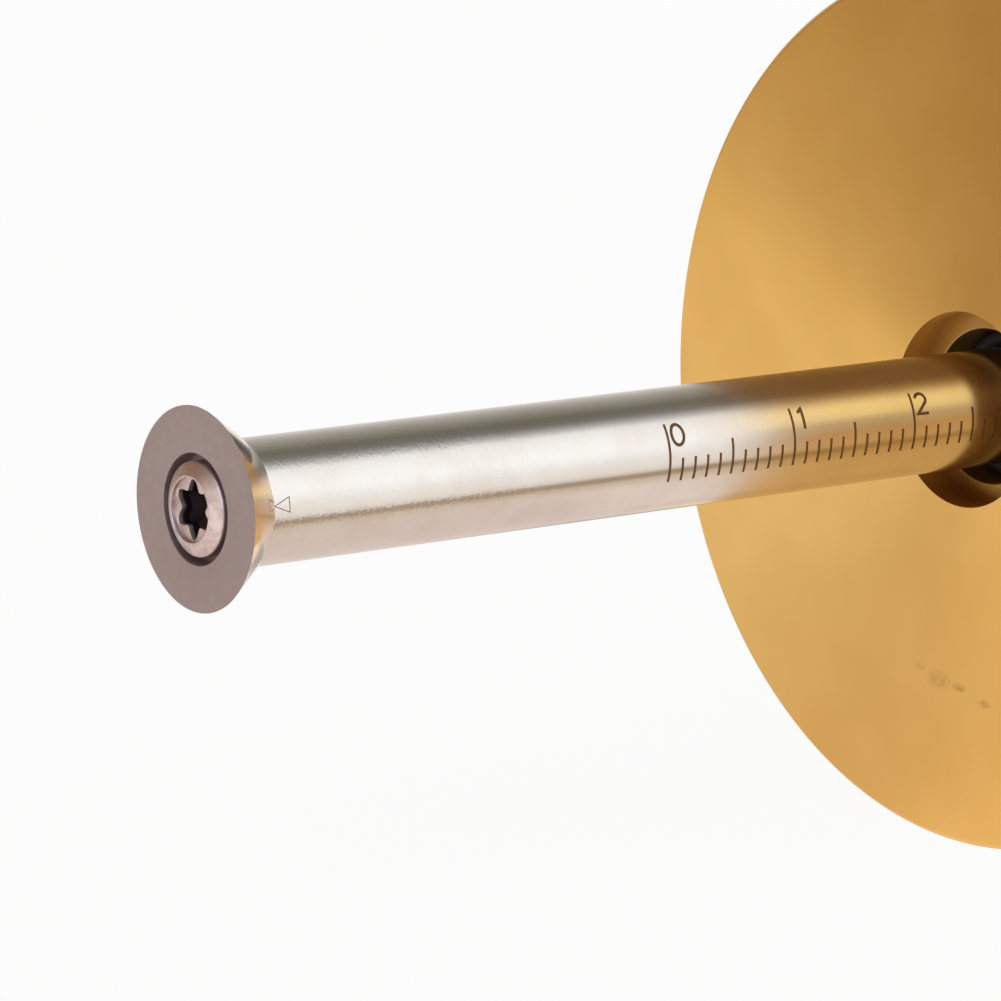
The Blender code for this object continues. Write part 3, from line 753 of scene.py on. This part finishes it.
class GAUGE_OT_fence(bpy.types.Operator):
    """Make the brass fence: disc, recess, hub and threaded tail"""

    bl_idname = "gauge.fence"
    bl_label = "Fence"

    def execute(self, context):
        s = context.scene.gauge_sizes
        ease = s.edge_break
        thick = s.disc_thickness
        hollow = [
            (
                thick + s.hub_fillet * (1 - math.cos(math.pi / 2 * step / EASE_STEPS)),
                s.hub_radius + s.hub_fillet * (1 - math.sin(math.pi / 2 * step / EASE_STEPS)),
            )
            for step in range(EASE_STEPS + 1)
        ]
        outside = eased([
            (0, s.recess_radius, ease / 3),
            (0, FENCE_RADIUS - s.front_chamfer, ease),
            (s.front_chamfer, FENCE_RADIUS, ease),
            (thick - s.back_chamfer, FENCE_RADIUS, ease),
            (thick, FENCE_RADIUS - s.back_chamfer, ease),
            (*hollow[0], 0),
        ])
        root = s.tail_radius - s.tail_pitch * TAIL_ROOT_SHARE
        relief = s.hub_end + s.tail_pitch
        hub = eased([
            (*hollow[-1], 0),
            (s.hub_end - s.hub_chamfer, s.hub_radius, ease),
            (s.hub_end, s.hub_radius - s.hub_chamfer, ease),
            (s.hub_end, root, ease),
            (relief, root, 0),
        ])
        tail_stop = TAIL_END - s.tail_pitch / 2
        screw = thread(relief, tail_stop, s.tail_radius, s.tail_pitch, DISC_LINES)
        inside = eased([
            (TAIL_END, root, 0),
            (TAIL_END, s.bore_radius + 2 * ease, ease),
            (TAIL_END - 2 * ease, s.bore_radius, ease),
            (s.gland_depth, s.bore_radius, ease),
            (s.gland_depth, s.gland_radius, ease),
            (s.recess_depth, s.gland_radius, ease),
            (s.recess_depth, s.recess_radius, 0),
            (0, s.recess_radius, 0),
        ])[:-1]
        fence = spin("fence_body", [*outside, *hollow[1:-1], *hub, *screw, *inside], DISC_LINES)
        fence.matrix_world = LYING
        carve(fence, lock_drill("fence_lock", s.stud_radius * HOLE_SHARE, lock_x("fence_lock")))
        carve(fence, self.rest_block(s))
        dress(fence, "fence_brass", "fence_head", ["fence"])
        return {"FINISHED"}

    def rest_block(self, s):
        """The block that leaves the flat on the rim, where the gauge stands."""
        shape = bmesh.new()
        bmesh.ops.create_cube(shape, size=1)
        size = (s.disc_thickness + 2 * CUT_OVERRUN, 4 * s.rest_flat, CUT_OVERRUN)
        middle = (FACE_X + s.disc_thickness / 2, 0, -CUT_OVERRUN / 2)
        for vert in shape.verts:
            vert.co = [m + c * d for m, c, d in zip(middle, vert.co, size)]
        return to_object("rest_block", shape)


class GAUGE_OT_grip_rings(bpy.types.Operator):
    """Make the two rubber rings that grip the rod"""

    bl_idname = "gauge.grip_rings"
    bl_label = "Grip rings"

    def execute(self, context):
        s = context.scene.gauge_sizes
        for node, body in (("front_grip_ring", "fence_head"), ("collar_grip_ring", "collar")):
            start, end = span(node)
            middle = (start + end) / 2
            half = s.seal_section / 2
            centre = girth(node) - half
            rings = [
                (middle + half * math.cos(angle), centre + half * math.sin(angle))
                for angle in np.arange(0, 2 * math.pi, ARC_STEP)
            ]
            ring = spin(f"{node}_rubber", rings, SMALL_LINES)
            dress(ring, "grip_rubber", body, [node])
        return {"FINISHED"}


class GAUGE_OT_adjuster(bpy.types.Operator):
    """Make the knurled adjuster nut"""

    bl_idname = "gauge.adjuster"
    bl_label = "Fine adjuster"

    def execute(self, context):
        s = context.scene.gauge_sizes
        ease = s.edge_break
        crest = girth("adjuster_nut")
        count = KNURL_GROOVES["adjuster_nut"]
        face = crest - s.nut_knurl - s.nut_chamfer
        bore = s.tail_radius + ease
        front = eased([
            (NUT_FRONT + 2 * ease, bore, ease),
            (NUT_FRONT, bore + 2 * ease, ease),
            (NUT_FRONT, face, 0),
        ])
        grip = knurl(NUT_FRONT + s.nut_chamfer, NUT_BACK - s.nut_chamfer, crest, s.nut_knurl, count)
        ring_back = NUT_BACK - s.nut_lip
        ring_front = ring_back - s.ring_room
        groove = s.nut_pocket + s.nut_groove
        back = eased([
            (NUT_BACK, face, 0),
            (NUT_BACK, s.nut_pocket, ease),
            (ring_back, s.nut_pocket, 0),
            (ring_back, groove, 0),
            (ring_front, groove, 0),
            (ring_front, s.nut_pocket, 0),
            (s.nut_shoulder, s.nut_pocket, 0),
            (s.nut_shoulder, bore, 0),
        ])
        nut = spin("adjuster_knurl", [*front[1:], *grip, *back], count * KNURL_STEPS)
        dress(nut, "knurled_brass_nut", "adjuster", ["adjuster_nut"])
        return {"FINISHED"}


class GAUGE_OT_collar(bpy.types.Operator):
    """Make the rear collar with its flange and its reading edge"""

    bl_idname = "gauge.collar"
    bl_label = "Rear collar"

    def execute(self, context):
        s = context.scene.gauge_sizes
        ease = s.edge_break
        flange = girth("rear_collar")
        outline = eased([
            (COLLAR_FRONT, s.bore_radius, 0),
            (COLLAR_FRONT, flange, ease),
            (COLLAR_FRONT + s.flange_length, flange, ease),
            (COLLAR_FRONT + s.flange_length, s.collar_neck, 0),
            (s.collar_start, s.collar_neck, 0),
            (s.collar_start, s.collar_radius - s.collar_chamfer / 2, ease),
            (s.collar_start + s.collar_chamfer / 2, s.collar_radius, ease),
            (HEAD_BACK - s.collar_chamfer, s.collar_radius, ease),
            (HEAD_BACK, s.collar_radius - s.collar_chamfer, ease),
            (HEAD_BACK, s.bore_radius + 2 * ease, ease),
            (HEAD_BACK - 2 * ease, s.bore_radius, ease),
            *self.seat(s),
        ])
        collar = spin("collar_body", outline, ROD_LINES)
        collar.matrix_world = LYING
        carve(collar, lock_drill("collar_lock", s.stud_radius * HOLE_SHARE, lock_x("collar_lock")))
        dress(collar, "turned_brass", "collar", ["rear_collar"])
        return {"FINISHED"}

    def seat(self, s):
        """The groove that holds the collar's grip ring, from back to front."""
        start, end = span("collar_grip_ring")
        room = s.groove_room
        return [
            (end + room, s.bore_radius, 0), (end + room, s.gland_radius, 0),
            (start - room, s.gland_radius, 0), (start - room, s.bore_radius, 0),
        ]


class GAUGE_OT_thumb_screws(bpy.types.Operator):
    """Make the two knurled thumb screws and their threaded studs"""

    bl_idname = "gauge.thumb_screws"
    bl_label = "Thumb screws"

    def execute(self, context):
        s = context.scene.gauge_sizes
        for node in ("fence_lock", "collar_lock"):
            stand = Matrix.Translation((lock_x(node), 0, AXIS_HEIGHT))
            underside, top = rise(f"{node}_knob")
            stud_start, stud_end = rise(f"{node}_stud")
            self.make_knob(s, node, underside, top, stud_end, stand)
            self.make_stud(s, node, stud_start, stud_end, stand)
        return {"FINISHED"}

    def make_knob(self, s, node, underside, top, stud_end, stand):
        """A knob with a bored neck, a diamond knurl and a dished top."""
        ease = s.edge_break
        crest = girth(f"{node}_knob")
        count = KNURL_GROOVES[f"{node}_knob"]
        face = crest - s.knob_knurl - s.knob_chamfer
        bore = s.stud_radius * KNOB_BORE_SHARE
        grip = underside + s.knob_neck_length
        neck = eased([
            (stud_end + ease, bore, 0),
            (underside, bore, ease),
            (underside, s.knob_neck, ease),
            (grip, s.knob_neck, 0),
        ])
        band = knurl(grip + s.knob_chamfer, top - s.knob_chamfer, crest, s.knob_knurl, count)
        dish = eased([
            (top - s.knob_chamfer, crest - s.knob_knurl, 0),
            (top, face, ease),
            (top, s.knob_dish, 2 * ease),
            (top - s.dish_depth, s.knob_dish / 2, 2 * ease),
            (top - s.dish_depth, 0, 0),
        ])[1:]
        knob = spin(f"{node}_grip", [(stud_end + ease, 0), *neck, *band, *dish], count * KNURL_STEPS)
        dress(knob, "knurled_brass_knob", node, [f"{node}_knob"], stand)

    def make_stud(self, s, node, start, end, stand):
        """A stud with a right-hand thread up to its knob."""
        root = s.stud_radius - s.stud_pitch * STUD_ROOT_SHARE
        screw = thread(start + s.stud_pitch / 2, end, s.stud_radius, s.stud_pitch, SMALL_LINES)
        rings = [(start, 0), (start, root), *screw, (end, 0)]
        stud = spin(f"{node}_thread", rings, SMALL_LINES)
        dress(stud, "stud_steel", node, [f"{node}_stud"], stand)


class GAUGE_OT_rod(bpy.types.Operator):
    """Make the ground steel rod and the stop ring near its tail"""

    bl_idname = "gauge.rod"
    bl_label = "Rod"

    def execute(self, context):
        s = context.scene.gauge_sizes
        ease = s.edge_break
        hole = s.shank_radius + s.groove_room
        hole_end = span("cutter_screw")[1] + s.groove_room
        ring_front, ring_back = span("rod_stop_ring")
        groove = ROD_RADIUS - s.groove_depth
        outline = eased([
            (hole_end + hole / 2, 0, 0),
            (hole_end, hole, 0),
            (ROD_FRONT, hole, 0),
            (ROD_FRONT, ROD_RADIUS - s.rod_front_chamfer, ease / 2),
            (ROD_FRONT + s.rod_front_chamfer, ROD_RADIUS, ease / 2),
            (ring_front - s.groove_room, ROD_RADIUS, ease / 2),
            (ring_front - s.groove_room, groove, 0),
            (ring_back + s.groove_room, groove, 0),
            (ring_back + s.groove_room, ROD_RADIUS, ease / 2),
            (ROD_BACK - s.rod_chamfer, ROD_RADIUS, ease),
            (ROD_BACK, ROD_RADIUS - s.rod_chamfer, ease),
            (ROD_BACK, s.dimple_radius, ease / 2),
            (ROD_BACK - s.dimple_radius, 0, 0),
        ])
        rod = spin("rod_ground", outline, ROD_LINES)
        dress(rod, "ground_rod", "rod_assembly", ["rod"])
        self.make_stop_ring(s, ring_front, ring_back, groove)
        return {"FINISHED"}

    def make_stop_ring(self, s, front, back, inner):
        """A flat spring ring, open at its mouth."""
        outer = girth("rod_stop_ring")
        inner = inner + s.groove_room / 2
        shape = bmesh.new()
        outline = []
        for radius, order in ((outer, range(SMALL_LINES + 1)), (inner, range(SMALL_LINES, -1, -1))):
            for step in order:
                angle = math.pi + RING_MOUTH + 2 * (math.pi - RING_MOUTH) * step / SMALL_LINES
                outline.append((radius * math.cos(angle), radius * math.sin(angle)))
        near = [shape.verts.new((x, y, front)) for x, y in outline]
        far = [shape.verts.new((x, y, back)) for x, y in outline]
        shape.faces.new(near)
        shape.faces.new(list(reversed(far)))
        for index in range(len(outline)):
            after = (index + 1) % len(outline)
            shape.faces.new((near[index], far[index], far[after], near[after]))
        ring = to_object("stop_ring_spring", shape)
        soften = ring.modifiers.new("rolled_edges", "BEVEL")
        soften.width = s.edge_break / 2
        soften.segments = 2
        soften.limit_method = "ANGLE"
        dress(ring, "phosphated_spring", "rod_assembly", ["rod_stop_ring"])


class GAUGE_OT_cutter(bpy.types.Operator):
    """Make the cutting wheel and the screw that holds it"""

    bl_idname = "gauge.cutter"
    bl_label = "Cutter"

    def execute(self, context):
        s = context.scene.gauge_sizes
        self.make_wheel(s)
        self.make_screw(s)
        return {"FINISHED"}

    def make_wheel(self, s):
        """The wheel: its edge is where the flat face meets the bevel."""
        ease = s.edge_break
        thick = CUTTER_BACK - CUTTER_FRONT
        hole = s.shank_radius + s.groove_room
        outline = eased([
            (0, s.pocket_radius, ease / 2),
            (0, girth("cutter_wheel"), 0),
            (thick, s.bevel_back, ease / 3),
            (thick, hole, 0),
            (s.pocket_depth, hole, 0),
            (s.pocket_depth, s.pocket_radius, 0),
        ])
        wheel = spin("cutter_edge", outline, DISC_LINES)
        stand = LYING @ Matrix.Translation((0, 0, CUTTER_FRONT))
        dress(wheel, "cutter_carbide", "cutter", ["cutter_wheel"], stand)

    def make_screw(self, s):
        """A low crowned head with a stepped six-lobe socket, and a threaded shank."""
        ease = s.edge_break
        start, end = span("cutter_screw")
        tip = end - start
        pitch = s.stud_pitch
        angles = 2 * math.pi * np.arange(SCREW_LINES) / SCREW_LINES
        middle = (s.socket_outer + s.socket_inner) / 2
        swing = (s.socket_outer - s.socket_inner) / 2
        lobes = middle + swing * np.cos(SOCKET_LOBES * angles)
        head = eased([
            (s.socket_step, s.socket_rim, 0),
            (0, s.socket_rim, ease / 2),
            (0, s.land_radius, ease / 2),
            (s.head_drop, s.head_radius, ease),
            (s.head_height, s.head_radius, ease / 2),
            (s.head_height, s.shank_radius, 0),
        ])
        rings = [
            (s.socket_depth + middle / 2, 0),
            (s.socket_depth, lobes - ease * SOCKET_DRAFT_SHARE),
            (s.socket_step + ease / 2, lobes),
            *head,
            *thread(s.head_height + pitch, tip - pitch / 2, s.shank_radius, pitch, SCREW_LINES),
            (tip, s.shank_radius / 2),
            (tip, 0),
        ]
        screw = spin("cutter_screw_plated", rings, SCREW_LINES)
        stand = LYING @ Matrix.Translation((0, 0, start))
        dress(screw, "plated_screw", "rod_assembly", ["cutter_screw"], stand)


def bow(x, y, width, height, start, end):
    """Points on part of an ellipse inside a figure's box, from one angle in degrees to another."""
    count = max(2, round(abs(end - start) / BOW_STEP))
    points = []
    for step in range(count + 1):
        angle = math.radians(start + (end - start) * step / count)
        points.append((x + width * math.cos(angle), y + height * math.sin(angle)))
    return points


# The strokes of each figure, in a box that is 1 wide and 1 high
FIGURES = {
    "0": [bow(0.5, 0.5, 0.5, 0.5, 0, 360)],
    "1": [[(0.24, 0.80), (0.62, 1.0), (0.62, 0.0)]],
    "2": [bow(0.48, 0.70, 0.46, 0.30, 165, -25) + [(0.02, 0.0), (1.0, 0.0)]],
    "3": [bow(0.46, 0.75, 0.44, 0.25, 150, -90), bow(0.46, 0.27, 0.50, 0.27, 90, -150)],
    "4": [[(0.72, 0.0), (0.72, 1.0), (0.0, 0.28), (1.0, 0.28)]],
    "5": [[(0.9, 1.0), (0.2, 1.0), (0.12, 0.52)] + bow(0.46, 0.32, 0.50, 0.32, 130, -145)],
    "6": [bow(0.5, 0.31, 0.48, 0.31, 0, 360), [(0.02, 0.31), (0.16, 0.72), (0.5, 0.98), (0.86, 0.9)]],
    "7": [[(0.0, 1.0), (1.0, 1.0), (0.34, 0.0)]],
    "8": [bow(0.5, 0.76, 0.42, 0.24, -90, 270), bow(0.5, 0.26, 0.5, 0.26, 90, 450)],
    "9": [bow(0.5, 0.69, 0.48, 0.31, 0, 360), [(0.98, 0.69), (0.84, 0.28), (0.5, 0.02), (0.14, 0.1)]],
}


class Marker:
    """Draws closed slabs on the rod's surface, in places along the rod and angles round it."""

    def __init__(self, name, sizes):
        self.name = name
        self.outer = ROD_RADIUS + sizes.proud
        self.inner = ROD_RADIUS - sizes.sunk
        self.shape = bmesh.new()

    def corner(self, along, arc, radius):
        """A corner of a slab: along the rod, and by arc length round it."""
        angle = arc / ROD_RADIUS
        return self.shape.verts.new((radius * math.cos(angle), radius * math.sin(angle), along))

    def stroke(self, path, width):
        """A slab of this width along a path of (place, angle). A path that comes back closes."""
        corners = [Vector((along, angle * ROD_RADIUS)) for along, angle in path]
        closed = (corners[0] - corners[-1]).length < width / 10
        points = [corners[0]]
        for corner, after in zip(corners, corners[1:]):
            steps = max(1, math.ceil(abs(after.y - corner.y) / (ROD_RADIUS * MARK_STEP)))
            points += [corner.lerp(after, step / steps) for step in range(1, steps + 1)]
        if closed:
            points = points[:-1]
        rows = []
        for index, point in enumerate(points):
            before = points[index - 1] if index or closed else point
            after = points[(index + 1) % len(points)] if index < len(points) - 1 or closed else point
            into = (point - before).normalized()
            out = (after - point).normalized()
            run = (into + out).normalized()
            side = Vector((-run.y, run.x))
            reach = width / 2 / max(MITRE_SHARE, run.dot(out if out.length else into))
            rows.append([
                self.corner(*(point + side * reach * sign), radius)
                for sign, radius in ((1, self.outer), (-1, self.outer), (-1, self.inner), (1, self.inner))
            ])
        following = rows[1:] + rows[:1] if closed else rows[1:]
        for one, two in zip(rows, following):
            for place in range(len(one)):
                after = (place + 1) % len(one)
                self.shape.faces.new((one[place], one[after], two[after], two[place]))
        if not closed:
            self.shape.faces.new(rows[0])
            self.shape.faces.new(list(reversed(rows[-1])))

    def put_on_rod(self):
        """Finish the marks and tie them to the rod."""
        dress(to_object(self.name, self.shape), "laser_mark", "rod_assembly")


class GAUGE_OT_scale(bpy.types.Operator):
    """Mark the scale, its figures and the small triangle behind the cutter"""

    bl_idname = "gauge.scale"
    bl_label = "Scale"

    def execute(self, context):
        m = context.scene.gauge_scale
        self.make_lines(m)
        self.make_figures(m)
        self.make_triangle(m)
        return {"FINISHED"}

    def make_lines(self, m):
        """A line for each millimetre, longer at each fifth and tenth."""
        marker = Marker("scale_lines", m)
        for millimetre in range(m.reach * 10 + 1):
            top = m.short_top
            if millimetre % 5 == 0:
                top = m.middle_top
            if millimetre % 10 == 0:
                top = m.long_top
            place = SCALE_ZERO + millimetre / MM
            marker.stroke([(place, m.foot), (place, top)], m.line_width)
        marker.put_on_rod()

    def make_figures(self, m):
        """The centimetres' figures, each just behind its line."""
        marker = Marker("scale_figures", m)
        tall = m.figure_foot - m.figure_top
        for centimetre in range(m.reach + 1):
            start = SCALE_ZERO + centimetre * 10 / MM + m.figure_start
            for place, figure in enumerate(str(centimetre)):
                left = start + place * m.figure_space
                for stroke in FIGURES[figure]:
                    path = [(left + x * m.figure_width, m.figure_foot - y * tall) for x, y in stroke]
                    marker.stroke(path, m.stroke_width)
        marker.put_on_rod()

    def make_triangle(self, m):
        """The outlined triangle that points at the cutter."""
        marker = Marker("cutter_mark", m)
        point = ROD_FRONT + m.mark_start
        base = point + m.mark_length
        centre = m.mark_centre
        path = [
            (point, centre), (base, centre - m.mark_half), (base, centre), (base, centre + m.mark_half),
            (point, centre),
        ]
        marker.stroke(path, m.mark_width)
        marker.put_on_rod()


class GAUGE_OT_finishes(bpy.types.Operator):
    """Make every material, and give the small inner nodes theirs"""

    bl_idname = "gauge.finishes"
    bl_label = "Finishes"

    def execute(self, context):
        c = context.scene.gauge_colours
        s = context.scene.gauge_sizes
        brass_finish("fence_brass", c, recess=s.recess_radius)
        brass_finish("turned_brass", c)
        brass_finish("knurled_brass_nut", c, crest=girth("adjuster_nut"))
        brass_finish("knurled_brass_knob", c, crest=girth("fence_lock_knob"))
        steel_finish("ground_rod", c)
        steel_finish("stud_steel", c)
        cutter_finish("cutter_carbide", c, s)
        screw_finish("plated_screw", c, s)
        for name, (colour, *traits) in PLAIN_FINISHES.items():
            plain_finish(name, getattr(c, colour), *traits)
        for node, finish in INNER_FINISHES.items():
            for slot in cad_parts[node].material_slots:
                slot.material = bpy.data.materials[finish]
        return {"FINISHED"}


WHITE = (1.0, 1.0, 1.0)
FLOOR_PAINT = (0.86, 0.85, 0.83)

# Where the parts of the mirrored room blend. A ray runs from -1, towards the cutter, to 1, towards the
# tail, and turns round the rod from 0, at -180 degrees in the tables below, to 1, at 180.
SIDES_MEET = (-0.35, 0.35)
BEYOND_STARTS = (0.68, 0.76)
BEYOND_TURNS = (0.90, 0.93)
AHEAD_ENDS = (-0.90, -0.80)

# The room on the tail's side and on the cutter's: degrees up from the front, over the top (90) and down
# behind (180), and the tone there
TAIL_SIDE = (
    (-180, (0.88, 0.86, 0.84)), (-90, (0.87, 0.77, 0.70)), (-9, (1.18, 1.16, 1.14)),
    (0, (1.22, 1.21, 1.20)), (13, (1.34, 1.34, 1.34)), (24, (1.38, 1.38, 1.38)),
    (47, (1.30, 1.30, 1.30)), (62, (1.19, 1.19, 1.18)), (72, (0.62, 0.61, 0.60)),
    (84, (0.25, 0.24, 0.22)), (101, (0.20, 0.19, 0.15)), (119, (0.34, 0.31, 0.26)),
    (140, (0.50, 0.47, 0.42)), (180, (0.88, 0.86, 0.84)),
)
CUTTER_SIDE = (
    (-180, (0.32, 0.18, 0.06)), (-170, (0.95, 0.93, 0.92)), (-90, (0.88, 0.79, 0.72)),
    (0, (0.80, 0.74, 0.95)), (14, (0.90, 0.92, 1.27)), (28, (1.12, 1.30, 1.65)),
    (42, (1.12, 1.32, 1.65)), (58, (0.97, 1.00, 1.20)), (70, (0.52, 0.40, 0.28)),
    (84, (0.14, 0.05, 0.03)), (128, (0.12, 0.04, 0.02)), (150, (0.22, 0.11, 0.04)),
    (168, (0.30, 0.17, 0.05)), (180, (0.32, 0.18, 0.06)),
)
# What lies beyond the fence, far along the rod and low behind it: degrees as above, and the tone
BEYOND = (
    (150, (0.50, 0.47, 0.42)), (158, (0.90, 0.54, 0.34)), (167, (0.90, 0.54, 0.34)),
    (169, (0.05, 0.04, 0.04)), (173, (0.05, 0.05, 0.045)), (176, (0.17, 0.165, 0.16)),
    (180, (0.42, 0.41, 0.40)),
)
# What the fence mirrors back along the rod, past the cutter
AHEAD = (
    (-180, (0.60, 0.50, 0.40)), (0, (0.55, 0.50, 0.50)), (30, (0.65, 0.60, 0.62)),
    (50, (1.30, 1.12, 1.02)), (66, (1.30, 1.12, 1.02)), (84, (1.05, 0.88, 0.74)),
    (130, (1.05, 0.88, 0.74)), (160, (1.00, 0.84, 0.68)), (180, (0.60, 0.50, 0.40)),
)
# The bench as metal mirrors it: millimetres from the rod's line, minus towards the front, and the tone
BENCH = (
    (-200, (1.20, 1.15, 1.10)), (-90, (1.14, 1.08, 1.00)), (-60, (1.02, 0.93, 0.84)),
    (-52, (0.46, 0.34, 0.24)), (-42, (0.46, 0.34, 0.24)), (-36, (0.84, 0.69, 0.53)),
    (-20, (0.91, 0.77, 0.69)), (10, (0.895, 0.755, 0.675)), (24, (0.885, 0.76, 0.69)),
    (38, (0.88, 0.765, 0.71)), (58, (0.87, 0.79, 0.76)), (72, (0.91, 0.85, 0.84)),
    (88, (0.94, 0.88, 0.89)), (120, (0.95, 0.88, 0.86)), (200, (0.93, 0.82, 0.68)),
)
FLOOR_REACH = 400.0
# Painted light and shade on the mirrored bench: the first patch is the fence's painted shadow, the fourth a
# painted dark patch, and the others painted pools of light. Each runs from left to right along the rod, from
# near to far across it, with how soft its edges are, and the tone.
BENCH_PAINTED_LIGHT_AND_SHADE = (
    (-30, 40, 36, 64, 4, (0.42, 0.39, 0.37)),
    (-28, 10, 22, 33, 3, (1.25, 0.85, 0.42)),
    (-42, -26, -26, 7, 6, (1.04, 0.88, 0.79)),
    (-3000, -65, -3000, -50, 8, (0.88, 0.66, 0.62)),
    (-3000, -150, -42, 20, 10, (1.80, 1.70, 1.65)),
)


class GAUGE_OT_stage(bpy.types.Operator):
    """Set up the pale floor, the soft light and the camera"""

    bl_idname = "gauge.stage"
    bl_label = "Studio"

    def execute(self, context):
        t = context.scene.gauge_studio
        self.make_floor(t)
        self.make_world(context.scene)
        self.make_key(t)
        self.make_camera(context.scene, t)
        context.scene.view_settings.view_transform = "Standard"
        return {"FINISHED"}

    def make_floor(self, t):
        """A round floor that the camera sees as near white, with the object's soft shadow on it."""
        shape = bmesh.new()
        bmesh.ops.create_circle(shape, cap_ends=True, segments=FLOOR_LINES, radius=t.floor_radius)
        floor = to_object("pale_floor", shape)
        f = start_finish("pale_floor")
        mirrored = f.ray("Is Glossy Ray").at_least(f.ray("Is Transmission Ray"))
        seen = (f.ray("Is Camera Ray") * t.floor_white).at_least(mirrored)
        x, y = f.split(f.place_mm())[:2]
        bench = f.ramp(y / FLOOR_REACH + 0.5, [(at / FLOOR_REACH + 0.5, tone) for at, tone in BENCH])
        # Paint the fence's shadow and the bright and dark patches on the bench that the metal mirrors.
        for left, right, near, far, soft, tone in BENCH_PAINTED_LIGHT_AND_SHADE:
            inside = f.between(x, left, right, soft) * f.between(y, near, far, soft)
            bench = f.mix(inside, bench, tone)
        tone = f.mix(mirrored, WHITE, bench)
        white = f.node("ShaderNodeEmission", inputs={"Color": tone, "Strength": 1.0})
        paint = f.node("ShaderNodeBsdfDiffuse", inputs={"Color": opaque(FLOOR_PAINT)})
        both = f.node("ShaderNodeMixShader", inputs={0: seen, 1: paint, 2: white})
        f.node("ShaderNodeOutputMaterial", inputs={"Surface": both})
        floor.data.materials.append(bpy.data.materials["pale_floor"])

    def make_world(self, scene):
        """White to the camera; to the object, a pale room that is bright in front and darker overhead."""
        world = bpy.data.worlds.new("soft_studio")
        world.use_nodes = True
        scene.world = world
        f = Finish(world.node_tree)
        x, y, z = f.split(f.node("ShaderNodeTexCoord", output="Generated"))
        turn_up = z.round_to(0.0 - y) / (2 * math.pi) + 0.5
        tail_side, cutter_side, beyond, ahead = [
            f.ramp(turn_up, [(degrees / 360 + 0.5, tone) for degrees, tone in room])
            for room in (TAIL_SIDE, CUTTER_SIDE, BEYOND, AHEAD)
        ]
        room = f.mix(f.fade(x, *SIDES_MEET), cutter_side, tail_side)
        room = f.mix(f.fade(x, *BEYOND_STARTS) * f.fade(turn_up, *BEYOND_TURNS), room, beyond)
        room = f.mix(f.fade(x, *AHEAD_ENDS), ahead, room)
        colour = f.mix(f.ray("Is Camera Ray"), room, WHITE)
        sky = f.node("ShaderNodeBackground", inputs={"Color": colour, "Strength": 1.0})
        f.node("ShaderNodeOutputWorld", inputs={"Surface": sky})

    def make_key(self, t):
        """One large soft lamp, up and to the front."""
        lamp = bpy.data.lights.new("key_lamp", "AREA")
        lamp.energy = t.key_power
        lamp.size = t.key_size
        key = bpy.data.objects.new("key_lamp", lamp)
        key.location = t.key_place
        target = Vector((FACE_X, 0, AXIS_HEIGHT))
        key.rotation_euler = (target - Vector(t.key_place)).to_track_quat("-Z", "Y").to_euler()
        bpy.context.scene.collection.objects.link(key)

    def make_camera(self, scene, t):
        """The camera at the picture's place, with its long lens."""
        lens = bpy.data.cameras.new("camera")
        lens.lens = t.lens
        lens.sensor_width = t.sensor
        lens.clip_start = 0.01
        camera = bpy.data.objects.new("camera", lens)
        camera.location = t.camera_place
        camera.rotation_euler = Vector(t.camera_aim).to_track_quat("-Z", "Y").to_euler()
        scene.collection.objects.link(camera)
        scene.camera = camera


class GAUGE_PT_panel(bpy.types.Panel):
    """The gauge's pieces and its studio, in the sidebar"""

    bl_label = "Wheel marking gauge"
    bl_idname = "GAUGE_PT_panel"
    bl_space_type = "VIEW_3D"
    bl_region_type = "UI"
    bl_category = "Gauge"

    def draw(self, context):
        for operator in OPERATORS:
            self.layout.operator(operator.bl_idname)


OPERATORS = (
    GAUGE_OT_finishes, GAUGE_OT_fence, GAUGE_OT_grip_rings, GAUGE_OT_adjuster, GAUGE_OT_collar,
    GAUGE_OT_thumb_screws, GAUGE_OT_rod, GAUGE_OT_scale, GAUGE_OT_cutter, GAUGE_OT_stage,
)
GROUPS = {
    "gauge_sizes": GaugeSizes,
    "gauge_scale": ScaleSizes,
    "gauge_colours": GaugeColours,
    "gauge_studio": StudioSettings,
}


def register():
    for group in GROUPS.values():
        bpy.utils.register_class(group)
    for name, group in GROUPS.items():
        setattr(bpy.types.Scene, name, bpy.props.PointerProperty(type=group))
    for operator in OPERATORS:
        bpy.utils.register_class(operator)
    bpy.utils.register_class(GAUGE_PT_panel)


def unregister():
    bpy.utils.unregister_class(GAUGE_PT_panel)
    for operator in reversed(OPERATORS):
        bpy.utils.unregister_class(operator)
    for name, group in GROUPS.items():
        delattr(bpy.types.Scene, name)
        bpy.utils.unregister_class(group)


def main():
    """Register the add-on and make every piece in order."""
    register()
    bpy.ops.gauge.finishes()
    bpy.ops.gauge.fence()
    bpy.ops.gauge.grip_rings()
    bpy.ops.gauge.adjuster()
    bpy.ops.gauge.collar()
    bpy.ops.gauge.thumb_screws()
    bpy.ops.gauge.rod()
    bpy.ops.gauge.scale()
    bpy.ops.gauge.cutter()
    bpy.ops.gauge.stage()


if __name__ == "__main__":
    main()
